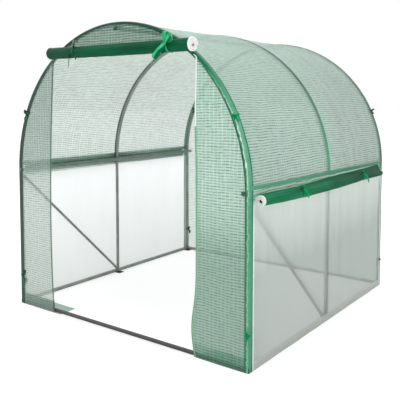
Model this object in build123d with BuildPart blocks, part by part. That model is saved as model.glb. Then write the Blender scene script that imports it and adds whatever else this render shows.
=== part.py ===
"""Walk-in polytunnel greenhouse: three steel hoops under a woven mesh cover with rolled sides and door.

Sizes are in millimetres. X runs across the tunnel, Y from the door end to the rear end, Z up from the
ground. The origin is on the ground, in the middle of the overall depth with the rolled door.
"""
import os
from math import cos, degrees, radians, sin

from build123d import *

# ---- Driving dimensions ------------------------------------------------------------------------
tunnel_width = 2000.0        # over the mesh cover
tunnel_length = 2000.0       # front hoop to rear hoop, tube centre to tube centre
shoulder_height = 1000.0     # ground to the level where the posts turn into the arch

tube_diameter = 25.0         # across the flats
tube_wall = 1.0
tube_sides = 8               # flats round a tube, in place of a true circle
brace_diameter = 19.0
brace_wall = 1.0
spigot_length = 45.0         # reduced end of one tube inside the next
spigot_neck = 5.0            # length over which a tube end is drawn down
spigot_clearance = 0.3
butt_gap = 0.3               # between the ends of two joined pieces
tube_touch_gap = 0.3         # between a rail and the hoop that it lies against
post_joint_drop = 140.0      # from the shoulder down to where the arch slips over the post
rail_joint_offset = 60.0     # from the middle hoop to the joint of a long rail

foot_plate = 60.0            # square sole plate of a foot
foot_plate_thickness = 2.5
foot_ground_gap = 4.0        # ground to the underside of a base rail
foot_edge_chamfer = 2.0
peg_hole_diameter = 9.0
peg_hole_inset = 13.0        # from the two inner edges of the sole plate

brace_top_drop = 40.0        # from the shoulder down to the upper bolt of a brace
brace_tab_length = 30.0
brace_tab_width = 24.0
brace_tab_thickness = 3.0
brace_crush_length = 30.0    # where the round brace is pressed flat
brace_hole_diameter = 6.5

cover_thickness = 1.5
cover_gap = 0.3              # between the cover and what it lies on
side_seam_drop = 45.0        # below the shoulder, from the cover to the side film
film_thickness = 1.5
door_width = 1280.0
door_head_drop = 200.0       # from the top of the cover down to the mesh panel's lower edge

binding_width = 40.0
binding_thickness = 1.0
binding_ground_gap = 3.0
skirt_depth = 140.0          # ground skirt behind each front strip
skirt_inner_reach = 80.0     # how far the left skirt runs past the door jamb
skirt_thickness = 1.5

roll_turns = 3
roll_edge_sides = 16         # flats round a rolled edging or a ribbon
roll_layer_gap = 0.5         # between one turn of a rolled cover and the next
door_roll_diameter = 76.0
door_roll_core = 22.0
door_roll_left_inset = 61.0  # roll's end short of the left jamb
door_roll_right_reach = 10.0  # roll's end past the right jamb
door_roll_rise = 22.0        # above the door head
door_roll_lead = 42.0        # height of the flat cloth between the roll and its seam
side_roll_diameter = 58.0
side_roll_core = 12.0
left_roll_drop = 15.0        # below the shoulder, as high as the left roll was tied
right_roll_drop = 55.0
side_roll_lead = 52.0
side_roll_front_inset = 45.0  # from the front hoop's plane to the end of a side roll
left_roll_rear_inset = 45.0  # the same from the rear hoop's plane
right_roll_rear_inset = 85.0
roll_wall_gap = 2.0          # between a roll and the cover behind it
lead_thickness = 2.0
edging_length = 12.0         # zip tape that shows at each end of a roll
door_edging_growth = 3.0     # the tape is thicker than the cloth, so the roll's end is larger
side_edging_growth = 0.8
edging_gap = 0.3

tie_width = 10.0
tie_thickness = 0.8
tie_gap = 0.3
tie_tail_length = 85.0
door_tie_insets = (326.0, 162.0)      # from the left and the right jamb
side_tie_insets = (500.0, 530.0)      # from the front and the rear hoop
hoop_tie_angle = 25.0        # above the shoulder, round the arch
hoop_tie_low_height = 200.0
bow_length = 46.0
bow_height = 12.0
bow_thickness = 5.0

knob_diameter = 28.0
knob_height = 8.0
knob_taper = 12.0            # degrees
knob_plug_length = 20.0      # inside the rail
knob_gap = 0.3               # to the end panel, and round the plug in its eyelet
skirt_gap = 2.0              # between the ground skirt and a foot's sole plate

# ---- Worked out from them ----------------------------------------------------------------------
tube_radius = tube_diameter / 2
tube_bore = tube_radius - tube_wall
spigot_radius = tube_bore - spigot_clearance
spigot_bore = spigot_radius - tube_wall
neck_radius = tube_radius - tube_wall / 2
hoop_outer_radius = tunnel_width / 2 - cover_thickness - cover_gap
hoop_radius = hoop_outer_radius - tube_radius
rail_x = hoop_radius - tube_diameter - tube_touch_gap
ridge_height = shoulder_height + rail_x
post_joint_height = shoulder_height - post_joint_drop
base_height = foot_ground_gap + tube_radius
skin_stand_off = tube_radius + cover_gap                  # hoop plane to the inside of an end panel
skin_reach = skin_stand_off + cover_thickness
knob_seat = cover_gap + cover_thickness + knob_gap        # rail end to the underside of a knob

side_seam_height = shoulder_height - side_seam_drop
door_head_height = shoulder_height + tunnel_width / 2 - door_head_drop
jamb = door_width / 2
door_roll_radius = door_roll_diameter / 2
door_roll_left = door_roll_left_inset - jamb
door_roll_right = jamb + door_roll_right_reach
side_roll_radius = side_roll_diameter / 2
door_roll_stand_off = skin_reach + cover_gap + door_roll_radius + door_edging_growth
door_roll_reach = door_roll_stand_off + door_roll_radius + door_edging_growth

# The overall depth runs from the front of the rolled door to the back of the rear panel.
overall_depth = door_roll_reach + tunnel_length + skin_reach
front_y = door_roll_reach - overall_depth / 2
middle_y = front_y + tunnel_length / 2
rear_y = front_y + tunnel_length
hoop_planes = {"front": front_y, "middle": middle_y, "rear": rear_y}
sides = {"left": -1, "right": 1}

os.makedirs("parts", exist_ok=True)


def save(piece, name):
    """Label a finished piece and write it to its own file."""
    piece.label = name
    export_step(piece, f"parts/{name}.step")


# ---- Steel frame -------------------------------------------------------------------------------
def bar_section(plane, radius, bore=0.0):
    """Section of a bar, or of a tube if it has a bore, on a plane. Its flats face the plane's axes."""
    turn = 180 / tube_sides
    with BuildSketch(plane) as section:
        RegularPolygon(radius, tube_sides, major_radius=False, rotation=turn)
        if bore:
            RegularPolygon(bore, tube_sides, major_radius=False, rotation=turn, mode=Mode.SUBTRACT)
    return section.sketch


def straight_tube(start, end, spigot=False):
    """Tube from start to end. Its spigot, a drawn-down end if it has one, runs on past the end."""
    along = (end - start).normalized()
    across = Vector(0, 0, 1) if abs(along.Z) < 0.5 else Vector(1, 0, 0)
    neck_start = end - along * spigot_neck
    with BuildPart() as piece:
        extrude(bar_section(Plane(start, across, along), tube_radius, tube_bore), amount=(end - start).length)
        if spigot:
            neck = Plane(neck_start, across, along)
            extrude(bar_section(neck, neck_radius, spigot_bore), amount=spigot_neck)
            extrude(bar_section(neck, spigot_radius, spigot_bore), amount=spigot_neck + spigot_length)
    return piece.part


# The posts stand on the feet. Each ends in a spigot that the arch slips over.
post_foot = base_height + tube_radius + butt_gap
for where, y in hoop_planes.items():
    for side, sign in sides.items():
        x = sign * hoop_radius
        post = straight_tube(Vector(x, y, post_foot), Vector(x, y, post_joint_height), spigot=True)
        save(post, f"{where}_post_{side}")


def hoop_section(y, sign, angle, radius, bore=0.0):
    """Section square to the arch, at an angle above the shoulder on one side."""
    a = radians(angle)
    origin = (sign * hoop_radius * cos(a), y, shoulder_height + hoop_radius * sin(a))
    return bar_section(Plane(origin, (0, 1, 0), (-sign * sin(a), 0, cos(a))), radius, bore)


def arch_half(y, sign, with_spigot):
    """Half of a hoop's arch: a straight leg over the post's spigot, then a quarter circle to the ridge.

    The leg is hollow, and so is the ridge end that takes the other half's spigot. The bend is solid.
    """
    leg_foot = post_joint_height + butt_gap
    hoop_axis = Axis((0, y, shoulder_height), (0, -sign, 0))
    end_angle = 90 - degrees(butt_gap / 2 / hoop_radius)
    lap_angle = degrees((spigot_length + spigot_neck) / hoop_radius)
    leg = Plane((sign * hoop_radius, y, leg_foot), (0, 1, 0), (0, 0, 1))
    with BuildPart() as piece:
        extrude(bar_section(leg, tube_radius, tube_bore), amount=shoulder_height - leg_foot)
        if with_spigot:
            revolve(hoop_section(y, sign, 0, tube_radius), hoop_axis, end_angle)
            spigot = hoop_section(y, sign, end_angle, spigot_radius, spigot_bore)
            revolve(spigot, hoop_axis, degrees(spigot_length / hoop_radius))
        else:
            revolve(hoop_section(y, sign, 0, tube_radius), hoop_axis, end_angle - lap_angle)
            socket = hoop_section(y, sign, end_angle - lap_angle, tube_radius, tube_bore)
            revolve(socket, hoop_axis, lap_angle)
    return piece.part


for where, y in hoop_planes.items():
    save(arch_half(y, -1, False), f"{where}_arch_left")
    save(arch_half(y, 1, True), f"{where}_arch_right")


# Base rails run from foot to foot, just off the ground. Each side has two, split at the middle foot.
rail_end = tube_radius + butt_gap
for side, sign in sides.items():
    x = sign * hoop_radius
    with BuildPart() as base_rail:
        for start_y, end_y in ((front_y, middle_y), (middle_y, rear_y)):
            start = Vector(x, start_y + rail_end, base_height)
            end = Vector(x, end_y - rail_end, base_height)
            add(straight_tube(start, end))
    save(base_rail.part, f"base_rail_{side}")

for where in ("front", "rear"):
    y = hoop_planes[where]
    reach = hoop_radius - rail_end
    cross_rail = straight_tube(Vector(-reach, y, base_height), Vector(reach, y, base_height))
    save(cross_rail, f"{where}_base_rail")


# Long rails lie against the inside of the hoops: one at each shoulder and one under the ridge.
def long_rail(x, z):
    """Rail in two lengths, the front one reduced to enter the rear one."""
    joint_y = middle_y + rail_joint_offset
    with BuildPart() as rail:
        add(straight_tube(Vector(x, front_y - tube_radius, z), Vector(x, joint_y, z), spigot=True))
        add(straight_tube(Vector(x, joint_y + butt_gap, z), Vector(x, rear_y + tube_radius, z)))
    return rail.part


rails = {
    "shoulder_rail_left": (-rail_x, shoulder_height),
    "shoulder_rail_right": (rail_x, shoulder_height),
    "ridge_rail": (0, ridge_height),
}
for name, (x, z) in rails.items():
    save(long_rail(x, z), name)


# ---- Feet: a moulded hub with plugs for the tubes and a sole plate pegged to the ground ---------
def foot(x, y, inward_y, plug_directions):
    """One foot. Its sole plate reaches inwards, and its plugs enter the tubes around it."""
    inward_x = -1 if x > 0 else 1
    centre = Vector(x, y, base_height)
    reach_y = foot_plate / 2 - tube_radius if inward_y else 0
    plate_x = x + inward_x * (foot_plate / 2 - tube_radius)
    plate_y = y + inward_y * reach_y
    peg_x = x + inward_x * (foot_plate - tube_radius - peg_hole_inset)
    peg_y = plate_y + (inward_y or 1) * (foot_plate / 2 - peg_hole_inset)
    with BuildPart() as piece:
        with BuildSketch(Plane.XY):
            with Locations((plate_x, plate_y)):
                Rectangle(foot_plate, foot_plate)
            with Locations((peg_x, peg_y)):
                RegularPolygon(peg_hole_diameter / 2, tube_sides, major_radius=False, mode=Mode.SUBTRACT)
        extrude(amount=foot_plate_thickness)
        with BuildSketch(Plane.XY):
            with Locations((x, y)):
                Rectangle(tube_diameter, tube_diameter)
        extrude(amount=base_height + tube_radius)
        hub = piece.edges().filter_by(Axis.Z).group_by(SortBy.LENGTH)[-1]
        chamfer(hub, foot_edge_chamfer)
        for direction in plug_directions:
            across = Vector(0, 0, 1) if direction[2] == 0 else Vector(1, 0, 0)
            extrude(bar_section(Plane(centre, across, direction), spigot_radius),
                    amount=tube_radius + spigot_length)
    return piece.part


up = (0, 0, 1)
back = (0, 1, 0)
forward = (0, -1, 0)
with BuildPart() as corner_feet:
    for sign in (-1, 1):
        inward = (-sign, 0, 0)
        add(foot(sign * hoop_radius, front_y, 1, (up, back, inward)))
        add(foot(sign * hoop_radius, rear_y, -1, (up, forward, inward)))
save(corner_feet.part, "corner_feet")

with BuildPart() as side_feet:
    for sign in (-1, 1):
        add(foot(sign * hoop_radius, middle_y, 0, (up, back, forward)))
save(side_feet.part, "side_feet")


# ---- Braces: round tube pressed flat at both ends, from the front leg to the middle foot --------
brace_x = hoop_radius - tube_radius - tube_touch_gap - brace_tab_thickness / 2


def oval(across_x, across_y):
    """Corners of a round or flattened bar section."""
    steps = [radians(360 * (i + 0.5) / tube_sides) for i in range(tube_sides)]
    return [(across_x / 2 * cos(a), across_y / 2 * sin(a)) for a in steps]


def brace(sign):
    """Diagonal brace of the front bay, on the inside of the posts."""
    x = sign * brace_x
    top = Vector(x, front_y, shoulder_height - brace_top_drop)
    bottom = Vector(x, middle_y, base_height)
    along = (bottom - top).normalized()
    round_start = brace_tab_length + brace_crush_length
    with BuildPart() as piece:
        for bolt, inward in ((top, along), (bottom, -along)):
            tab_face = bolt - Vector(brace_tab_thickness / 2, 0, 0)
            with BuildSketch(Plane(tab_face, inward, (1, 0, 0))):
                with Locations((brace_tab_length / 2, 0)):
                    Rectangle(brace_tab_length, brace_tab_width)
                RegularPolygon(brace_tab_width / 2, tube_sides, major_radius=False, rotation=180 / tube_sides)
                RegularPolygon(brace_hole_diameter / 2, tube_sides, major_radius=False, mode=Mode.SUBTRACT)
            extrude(amount=brace_tab_thickness)
            flat_end = Plane(bolt + inward * brace_tab_length, (1, 0, 0), inward)
            round_end = Plane(bolt + inward * round_start, (1, 0, 0), inward)
            with BuildSketch(flat_end):
                Polygon(*oval(brace_tab_thickness, brace_tab_width), align=None)
            with BuildSketch(round_end):
                Polygon(*oval(brace_diameter, brace_diameter), align=None)
            loft(ruled=True)
        run = Plane(top + along * round_start, (1, 0, 0), along)
        brace_bore = brace_diameter - 2 * brace_wall
        with BuildSketch(run):
            Polygon(*oval(brace_diameter, brace_diameter), align=None)
            Polygon(*oval(brace_bore, brace_bore), align=None, mode=Mode.SUBTRACT)
        extrude(amount=(bottom - top).length - 2 * round_start)
    return piece.part


for side, sign in sides.items():
    save(brace(sign), f"brace_{side}")

# A knob closes each end of a long rail and holds the end panel to it through an eyelet.
with BuildPart() as rail_knobs:
    for x, z in rails.values():
        for end_y, outward in ((front_y, Vector(0, -1, 0)), (rear_y, Vector(0, 1, 0))):
            tip = Vector(x, end_y, z) + outward * tube_radius
            plug_start = Plane(tip - outward * knob_plug_length, (1, 0, 0), outward)
            knob_start = Plane(tip + outward * knob_seat, (1, 0, 0), outward)
            extrude(bar_section(plug_start, spigot_radius), amount=knob_plug_length + knob_seat)
            extrude(bar_section(knob_start, knob_diameter / 2), amount=knob_height, taper=knob_taper)
save(rail_knobs.part, "rail_knobs")


# ---- Cover ---------------------------------------------------------------------------------------
def tunnel_section(y, radius, bottom):
    """Cross-section of the tunnel at a place along it: upright sides, then a half circle."""
    with BuildSketch(Plane(origin=(0, y, 0), x_dir=(1, 0, 0), z_dir=(0, -1, 0))) as section:
        with BuildLine():
            Line((-radius, bottom), (-radius, shoulder_height))
            ThreePointArc((-radius, shoulder_height), (0, shoulder_height + radius), (radius, shoulder_height))
            Line((radius, shoulder_height), (radius, bottom))
            Line((radius, bottom), (-radius, bottom))
        make_face()
    return section.sketch


def arched_sheet(start_y, end_y, inner_radius, thickness, bottom):
    """Sheet bent over the hoops between two places along the tunnel, down to bottom on both sides."""
    with BuildPart() as sheet:
        extrude(tunnel_section(start_y, inner_radius + thickness, bottom), amount=start_y - end_y)
        extrude(tunnel_section(start_y, inner_radius, bottom), amount=start_y - end_y, mode=Mode.SUBTRACT)
    return sheet.part


cover_inner = hoop_outer_radius + cover_gap
cover_outer = cover_inner + cover_thickness
cover_front = front_y - skin_reach
cover_rear = rear_y + skin_reach
save(arched_sheet(cover_front, cover_rear, cover_inner, cover_thickness, side_seam_height), "roof_cover")

# A solid woven tape is sewn over the end edges of the cover, from the ground over the arch.
tape_inner = cover_outer + cover_gap
save(arched_sheet(cover_front, cover_front + binding_width, tape_inner, binding_thickness,
                  binding_ground_gap), "front_binding")
save(arched_sheet(cover_rear - binding_width, cover_rear, tape_inner, binding_thickness,
                  binding_ground_gap), "rear_binding")

# Below the seam each side is closed by a film that hangs to the ground behind the rolled cover.
for side, sign in sides.items():
    with BuildPart() as side_film:
        with BuildSketch(Plane.XY):
            with Locations((sign * (cover_inner + film_thickness / 2), (cover_front + cover_rear) / 2)):
                Rectangle(film_thickness, cover_rear - cover_front)
        extrude(amount=side_seam_height - cover_gap)
    save(side_film.part, f"side_film_{side}")


# ---- End panels: flat mesh stretched on the end hoops ---------------------------------------------
def end_panel(panel_y, left, right, bottom, top):
    """Part of an end wall between four bounds, trimmed by the hoop, with eyelets for the rail knobs."""
    with BuildPart() as panel:
        with BuildSketch(Plane(origin=(0, panel_y, 0), x_dir=(1, 0, 0), z_dir=(0, -1, 0))) as outline:
            with Locations(((left + right) / 2, (bottom + top) / 2)):
                Rectangle(right - left, top - bottom)
            add(tunnel_section(panel_y, hoop_outer_radius, 0), mode=Mode.INTERSECT)
            with Locations(*rails.values()):
                RegularPolygon(spigot_radius + knob_gap, tube_sides, major_radius=False,
                               rotation=180 / tube_sides, mode=Mode.SUBTRACT)
        extrude(amount=cover_thickness)
    return panel.part


ends = {"front": front_y - skin_stand_off, "rear": rear_y + skin_reach}
apex = shoulder_height + hoop_outer_radius
for where, panel_y in ends.items():
    save(end_panel(panel_y, -hoop_outer_radius, -jamb, 0, door_head_height), f"{where}_panel_left")
    save(end_panel(panel_y, jamb, hoop_outer_radius, 0, door_head_height), f"{where}_panel_right")
    save(end_panel(panel_y, -jamb, jamb, door_head_height, apex), f"{where}_panel_top")
rear_door = end_panel(ends["rear"], -jamb + cover_gap, jamb - cover_gap, 0, door_head_height - cover_gap)
save(rear_door, "rear_door_panel")

# The foot of each front strip turns inwards and lies on the ground under the base rail.
skirt_outer = hoop_radius + tube_radius - foot_plate - skirt_gap
for side, sign in sides.items():
    skirt_inner = jamb - (skirt_inner_reach if side == "left" else 0)
    with BuildPart() as skirt:
        with BuildSketch(Plane.XY):
            with Locations((sign * (skirt_outer + skirt_inner) / 2, front_y - tube_radius + skirt_depth / 2)):
                Rectangle(skirt_outer - skirt_inner, skirt_depth)
        extrude(amount=skirt_thickness)
    save(skirt.part, f"front_skirt_{side}")


# ---- Rolled covers --------------------------------------------------------------------------------
def spiral_face(plane, outer_radius, core_radius):
    """Section of a rolled sheet: half turns about two centres, so that every layer is one thickness.

    On the plane, X points away from the wall and Y points up. The free outer end faces the wall.
    """
    pitch = (outer_radius - core_radius) / roll_turns
    layer = pitch - roll_layer_gap
    half_turns = range(2 * roll_turns)

    def half_turn(k, inset):
        radius = outer_radius - k * pitch / 2 - inset
        centre = k % 2 * pitch / 2
        crown = radius if k % 2 else -radius
        return ThreePointArc((centre - radius, 0), (centre, crown), (centre + radius, 0))

    with BuildSketch(plane) as section:
        with BuildLine():
            for k in half_turns:
                half_turn(k, 0)
                half_turn(k, layer)
            Line((-outer_radius, 0), (-outer_radius + layer, 0))
            inner_end = half_turns[-1] * pitch / 2 + pitch / 2 - outer_radius
            Line((inner_end, 0), (inner_end + layer, 0))
        make_face()
    return section.sketch


def roll_plane(middle, outward):
    """Plane square to a roll, X away from the wall, Y up."""
    return Plane(origin=middle, x_dir=outward, z_dir=outward.cross(Vector(0, 0, 1)))


def rolled_sheet(middle, outward, length, radius, core, wall_gap, lead):
    """Rolled cover with the flat length of cloth, the lead, that joins it to its seam on the wall."""
    plane = roll_plane(middle, outward)
    shift = wall_gap - cover_gap
    with BuildPart() as roll:
        extrude(spiral_face(plane, radius, core), amount=length / 2, both=True)
        with BuildSketch(plane) as flap:
            with BuildLine():
                Polyline((-radius, 0), (lead_thickness - radius, 0), (lead_thickness - radius - shift, lead),
                         (-radius - shift, lead), close=True)
            make_face()
        extrude(flap.sketch, amount=length / 2, both=True)
    return roll.part


def winding(plane, radius, bore, length, lead_zone=0.0):
    """Plain ring round a roll's axis, a flat to the wall. The lead zone leaves room for the cloth there."""
    flat_turn = 180 / roll_edge_sides
    with BuildSketch(plane) as section:
        RegularPolygon(radius, roll_edge_sides, major_radius=False, rotation=flat_turn)
        RegularPolygon(bore, roll_edge_sides, major_radius=False, rotation=flat_turn, mode=Mode.SUBTRACT)
        if lead_zone:
            with Locations((-bore, bore / 2)):
                Rectangle(2 * lead_zone, bore, mode=Mode.SUBTRACT)
    extrude(section.sketch, amount=length / 2, both=True)


def bow(plane):
    """Ribbon bow: a knot, two loops across and two tails that hang. On the plane, X points up."""
    half = bow_height / 2
    with BuildSketch(plane) as outline:
        Rectangle(bow_height, bow_height)
        for side in (-1, 1):
            with BuildLine():
                Polyline((0, 0), (half, side * bow_length / 4), (half / 2, side * bow_length / 2),
                         (-half, side * bow_length / 2.4), close=True)
            make_face()
            with BuildLine():
                Polyline((0, 0), (0, side * tie_width), (-tie_tail_length, side * 2 * tie_width),
                         (-tie_tail_length, side * tie_width), close=True)
            make_face()
    extrude(outline.sketch, amount=bow_thickness)


def roll_tie(middle, outward, radius):
    """Ribbon round a roll, open where the lead passes, with a bow on the outside."""
    bore = radius + tie_gap
    winding(roll_plane(middle, outward), bore + tie_thickness, bore, tie_width, lead_thickness + 2 * tie_gap)
    bow(Plane(middle + outward * (bore + tie_thickness / 2), (0, 0, 1), outward))


outward = Vector(0, -1, 0)
door_roll_height = door_head_height + door_roll_rise
door_middle = Vector((door_roll_left + door_roll_right) / 2, front_y - door_roll_stand_off, door_roll_height)
door_span = door_roll_right - door_roll_left
door_cloth = door_span - 2 * (edging_length + edging_gap)
door_wall_gap = door_roll_stand_off - skin_reach - door_roll_radius
save(rolled_sheet(door_middle, outward, door_cloth, door_roll_radius, door_roll_core / 2,
                  door_wall_gap, door_roll_lead), "door_roll")

side_roll_x = cover_outer + roll_wall_gap + side_roll_radius
side_roll_start = front_y + side_roll_front_inset
side_roll_ends = {"left": rear_y - left_roll_rear_inset, "right": rear_y - right_roll_rear_inset}
side_roll_heights = {"left": shoulder_height - left_roll_drop, "right": shoulder_height - right_roll_drop}
for side, sign in sides.items():
    side_roll_end = side_roll_ends[side]
    middle = Vector(sign * side_roll_x, (side_roll_start + side_roll_end) / 2, side_roll_heights[side])
    side_cloth = side_roll_end - side_roll_start - 2 * (edging_length + edging_gap)
    save(rolled_sheet(middle, Vector(sign, 0, 0), side_cloth, side_roll_radius, side_roll_core / 2,
                      roll_wall_gap, side_roll_lead), f"side_roll_{side}")

# The zip tapes along the edges of the covers show as thicker white windings at the ends of the rolls.
with BuildPart() as roll_edging:
    for x in (door_roll_left + edging_length / 2, door_roll_right - edging_length / 2):
        plane = roll_plane(Vector(x, door_middle.Y, door_middle.Z), outward)
        winding(plane, door_roll_radius + door_edging_growth, door_roll_core / 2, edging_length)
    for side, sign in sides.items():
        for y in (side_roll_start + edging_length / 2, side_roll_ends[side] - edging_length / 2):
            plane = roll_plane(Vector(sign * side_roll_x, y, side_roll_heights[side]), Vector(sign, 0, 0))
            winding(plane, side_roll_radius + side_edging_growth, side_roll_core / 2, edging_length)
save(roll_edging.part, "roll_edging")

with BuildPart() as roll_ties:
    for x in (door_tie_insets[0] - jamb, jamb - door_tie_insets[1]):
        roll_tie(Vector(x, door_middle.Y, door_middle.Z), outward, door_roll_radius)
    for side, sign in sides.items():
        for y in (front_y + side_tie_insets[0], rear_y - side_tie_insets[1]):
            middle = Vector(sign * side_roll_x, y, side_roll_heights[side])
            roll_tie(middle, Vector(sign, 0, 0), side_roll_radius)
save(roll_ties.part, "roll_ties")

# Ribbons tie the end panels to the hoops, high on the arch and low on the posts.
with BuildPart() as hoop_ties:
    tie_radius = hoop_outer_radius - tube_radius
    a = radians(hoop_tie_angle)
    high = (tie_radius * cos(a), shoulder_height + tie_radius * sin(a))
    low = (tie_radius, hoop_tie_low_height)
    for y, direction in ((cover_front - tie_gap, -1), (cover_rear + tie_gap, 1)):
        for x, z in (high, low):
            for sign in (-1, 1):
                bow(Plane((sign * x, y, z), (0, 0, 1), (0, direction, 0)))
save(hoop_ties.part, "hoop_ties")
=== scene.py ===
"""Looks of a walk-in polytunnel greenhouse: steel hoops, a woven green cover, rolled-up sides and door.

Sizes are in metres, unless a name says mm. X runs across the tunnel, Y from the door end to the rear
end, Z up from the ground. The file follows the tunnel as it is put up: studio, hoops, rails, screws,
feet, braces, knobs, side netting, roof cover, end panels, edge tapes, hems and zips, ground skirts,
rolled covers, ribbons.
"""
from math import cos, exp, pi, radians, sin, sqrt

import bmesh
import bpy
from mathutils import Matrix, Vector, noise


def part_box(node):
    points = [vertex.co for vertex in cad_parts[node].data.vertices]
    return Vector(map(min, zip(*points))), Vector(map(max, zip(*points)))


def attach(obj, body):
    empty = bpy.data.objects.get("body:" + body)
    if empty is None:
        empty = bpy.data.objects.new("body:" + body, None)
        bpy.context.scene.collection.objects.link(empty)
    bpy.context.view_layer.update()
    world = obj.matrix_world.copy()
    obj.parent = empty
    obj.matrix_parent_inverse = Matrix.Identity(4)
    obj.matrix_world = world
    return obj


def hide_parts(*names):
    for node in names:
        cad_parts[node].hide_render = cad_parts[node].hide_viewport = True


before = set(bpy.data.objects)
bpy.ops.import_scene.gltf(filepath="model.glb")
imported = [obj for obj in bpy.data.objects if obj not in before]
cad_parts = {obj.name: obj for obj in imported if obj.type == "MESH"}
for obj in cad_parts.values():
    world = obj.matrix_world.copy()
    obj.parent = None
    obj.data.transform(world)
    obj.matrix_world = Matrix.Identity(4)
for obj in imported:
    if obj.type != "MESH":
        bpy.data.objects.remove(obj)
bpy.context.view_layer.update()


# ---- Studio ----
# Pale studio paper on the floor, a bright backdrop behind the left side that fades round to a dim room,
# a soft lamp overhead and a smaller one on the right. To the camera sky and paper are white, and the
# paper keeps a soft shadow.
toward_backdrop = Vector((-0.82, 0.56, 0.08)).normalized()
backdrop_strength = 3.2
room_strength = 0.36
lamps = {"overhead_lamp": (0.12, radians(16), Vector((-0.24, 0.42, -0.88))),
         "side_lamp": (0.40, radians(4), Vector((-0.68, 0.30, -0.67)))}
paper_glow = 0.72            # share of the paper's whiteness that no shadow darkens
paper_reach = 60
paper_drop = 0.0005          # keeps the paper just under the cloth that lies on the ground
camera_place = Vector((2.718, -3.742, 1.514))
camera_turn = radians(36.55)
camera_dip = radians(3.84)
lens_mm = 54.5
sensor_mm = 36
camera_shift = -0.15


def linear(hex_colour):
    """An sRGB hex colour as linear red, green and blue, with full alpha."""
    shares = [int(hex_colour[i:i + 2], 16) / 255 for i in (1, 3, 5)]
    return [s / 12.92 if s <= 0.04045 else ((s + 0.055) / 1.055) ** 2.4 for s in shares] + [1]


def add_node(tree, kind, inputs=None, stops=(), **settings):
    """Adds one shader node. An input is a value, a socket, or a node that gives its first output in use.

    A Mix node takes its two colours at 6 and 7. stops are a ramp's, as (place from 0 to 1, hex colour).
    """
    node = tree.nodes.new("ShaderNode" + kind)
    for option, value in settings.items():
        setattr(node, option, value)
    for name, value in (inputs or {}).items():
        if isinstance(value, bpy.types.Node):
            value = next(socket for socket in value.outputs if socket.enabled)
        if isinstance(value, bpy.types.NodeSocket):
            tree.links.new(value, node.inputs[name])
        else:
            node.inputs[name].default_value = value
    for number, (place, colour) in enumerate(stops):
        if number > 1:
            node.color_ramp.elements.new(place)
        node.color_ramp.elements[number].position = place
        node.color_ramp.elements[number].color = linear(colour)
    return node


def emptied(owner):
    """The node tree of a new world or material, without nodes."""
    owner.use_nodes = True
    owner.node_tree.nodes.clear()
    return owner.node_tree


def new_material(name, surface, *details, **options):
    """New material. surface is the function that adds the nodes of its finish and gives their shader."""
    material = bpy.data.materials.new(name)
    tree = emptied(material)
    add_node(tree, "OutputMaterial", {"Surface": surface(tree, *details, **options)})
    return material


def seen_rays(tree):
    """1 for what the camera sees directly or through a film, and 0 for light on its way."""
    path = add_node(tree, "LightPath")
    return add_node(tree, "Math", {0: path.outputs["Is Camera Ray"], 1: path.outputs["Is Transmission Ray"]},
                    operation="MAXIMUM")


def studio_paper(tree):
    """Matt white paper. The camera sees it white, and darker only where a shadow falls."""
    lit = add_node(tree, "BsdfDiffuse", {"Color": linear("#e6e6e4")})
    dim = add_node(tree, "BsdfDiffuse", {"Color": linear("#a0a0a0")})
    light = add_node(tree, "Emission", {"Color": linear("#ffffff"), "Strength": paper_glow})
    seen = add_node(tree, "AddShader", {0: dim, 1: light})
    return add_node(tree, "MixShader", {0: seen_rays(tree), 1: lit, 2: seen})


world = bpy.data.worlds.new("white_sky")
sky_tree = emptied(world)
sky_way = add_node(sky_tree, "TexCoord").outputs["Generated"]
facing = add_node(sky_tree, "VectorMath", {0: sky_way, 1: toward_backdrop}, operation="DOT_PRODUCT")
room = add_node(sky_tree, "MapRange", {"Value": facing, "From Min": -0.6, "From Max": 0.9,
                                       "To Min": room_strength, "To Max": backdrop_strength},
                interpolation_type="SMOOTHSTEP")
sky_level = add_node(sky_tree, "MapRange", {"Value": seen_rays(sky_tree), "To Min": room})
sky = add_node(sky_tree, "Background", {"Color": linear("#ffffff"), "Strength": sky_level})
add_node(sky_tree, "OutputWorld", {"Surface": sky})
bpy.context.scene.world = world

floor_mesh = bmesh.new()
bmesh.ops.create_grid(floor_mesh, x_segments=4, y_segments=4, size=paper_reach)
floor_data = bpy.data.meshes.new("studio_floor")
floor_mesh.to_mesh(floor_data)
floor_data.materials.append(new_material("studio_paper", studio_paper))
floor = bpy.data.objects.new("studio_floor", floor_data)
floor.location.z = -paper_drop
bpy.context.scene.collection.objects.link(floor)

for name, (strength, softness, travel) in lamps.items():
    lamp_data = bpy.data.lights.new(name, "SUN")
    lamp_data.energy = strength
    lamp_data.angle = softness
    lamp = bpy.data.objects.new(name, lamp_data)
    lamp.rotation_euler = travel.to_track_quat("-Z", "Y").to_euler()
    bpy.context.scene.collection.objects.link(lamp)

camera_data = bpy.data.cameras.new("camera")
camera_data.lens = lens_mm
camera_data.sensor_width = sensor_mm
camera_data.shift_y = camera_shift
camera_data.clip_end = 200
camera = bpy.data.objects.new("camera", camera_data)
camera.location = camera_place
camera.rotation_euler = (pi / 2 - camera_dip, 0, camera_turn)
bpy.context.scene.collection.objects.link(camera)
bpy.context.scene.camera = camera
bpy.context.scene.view_settings.view_transform = "Standard"


# ---- Hoops ----
# Three hoops of round steel tube, powder-coated grey. Each is two posts and two arch halves, which
# slip over the posts' drawn-down ends and over each other at the ridge.
def middle(node):
    """Middle of a frame node's box."""
    return sum(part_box(node), Vector()) / 2


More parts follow.
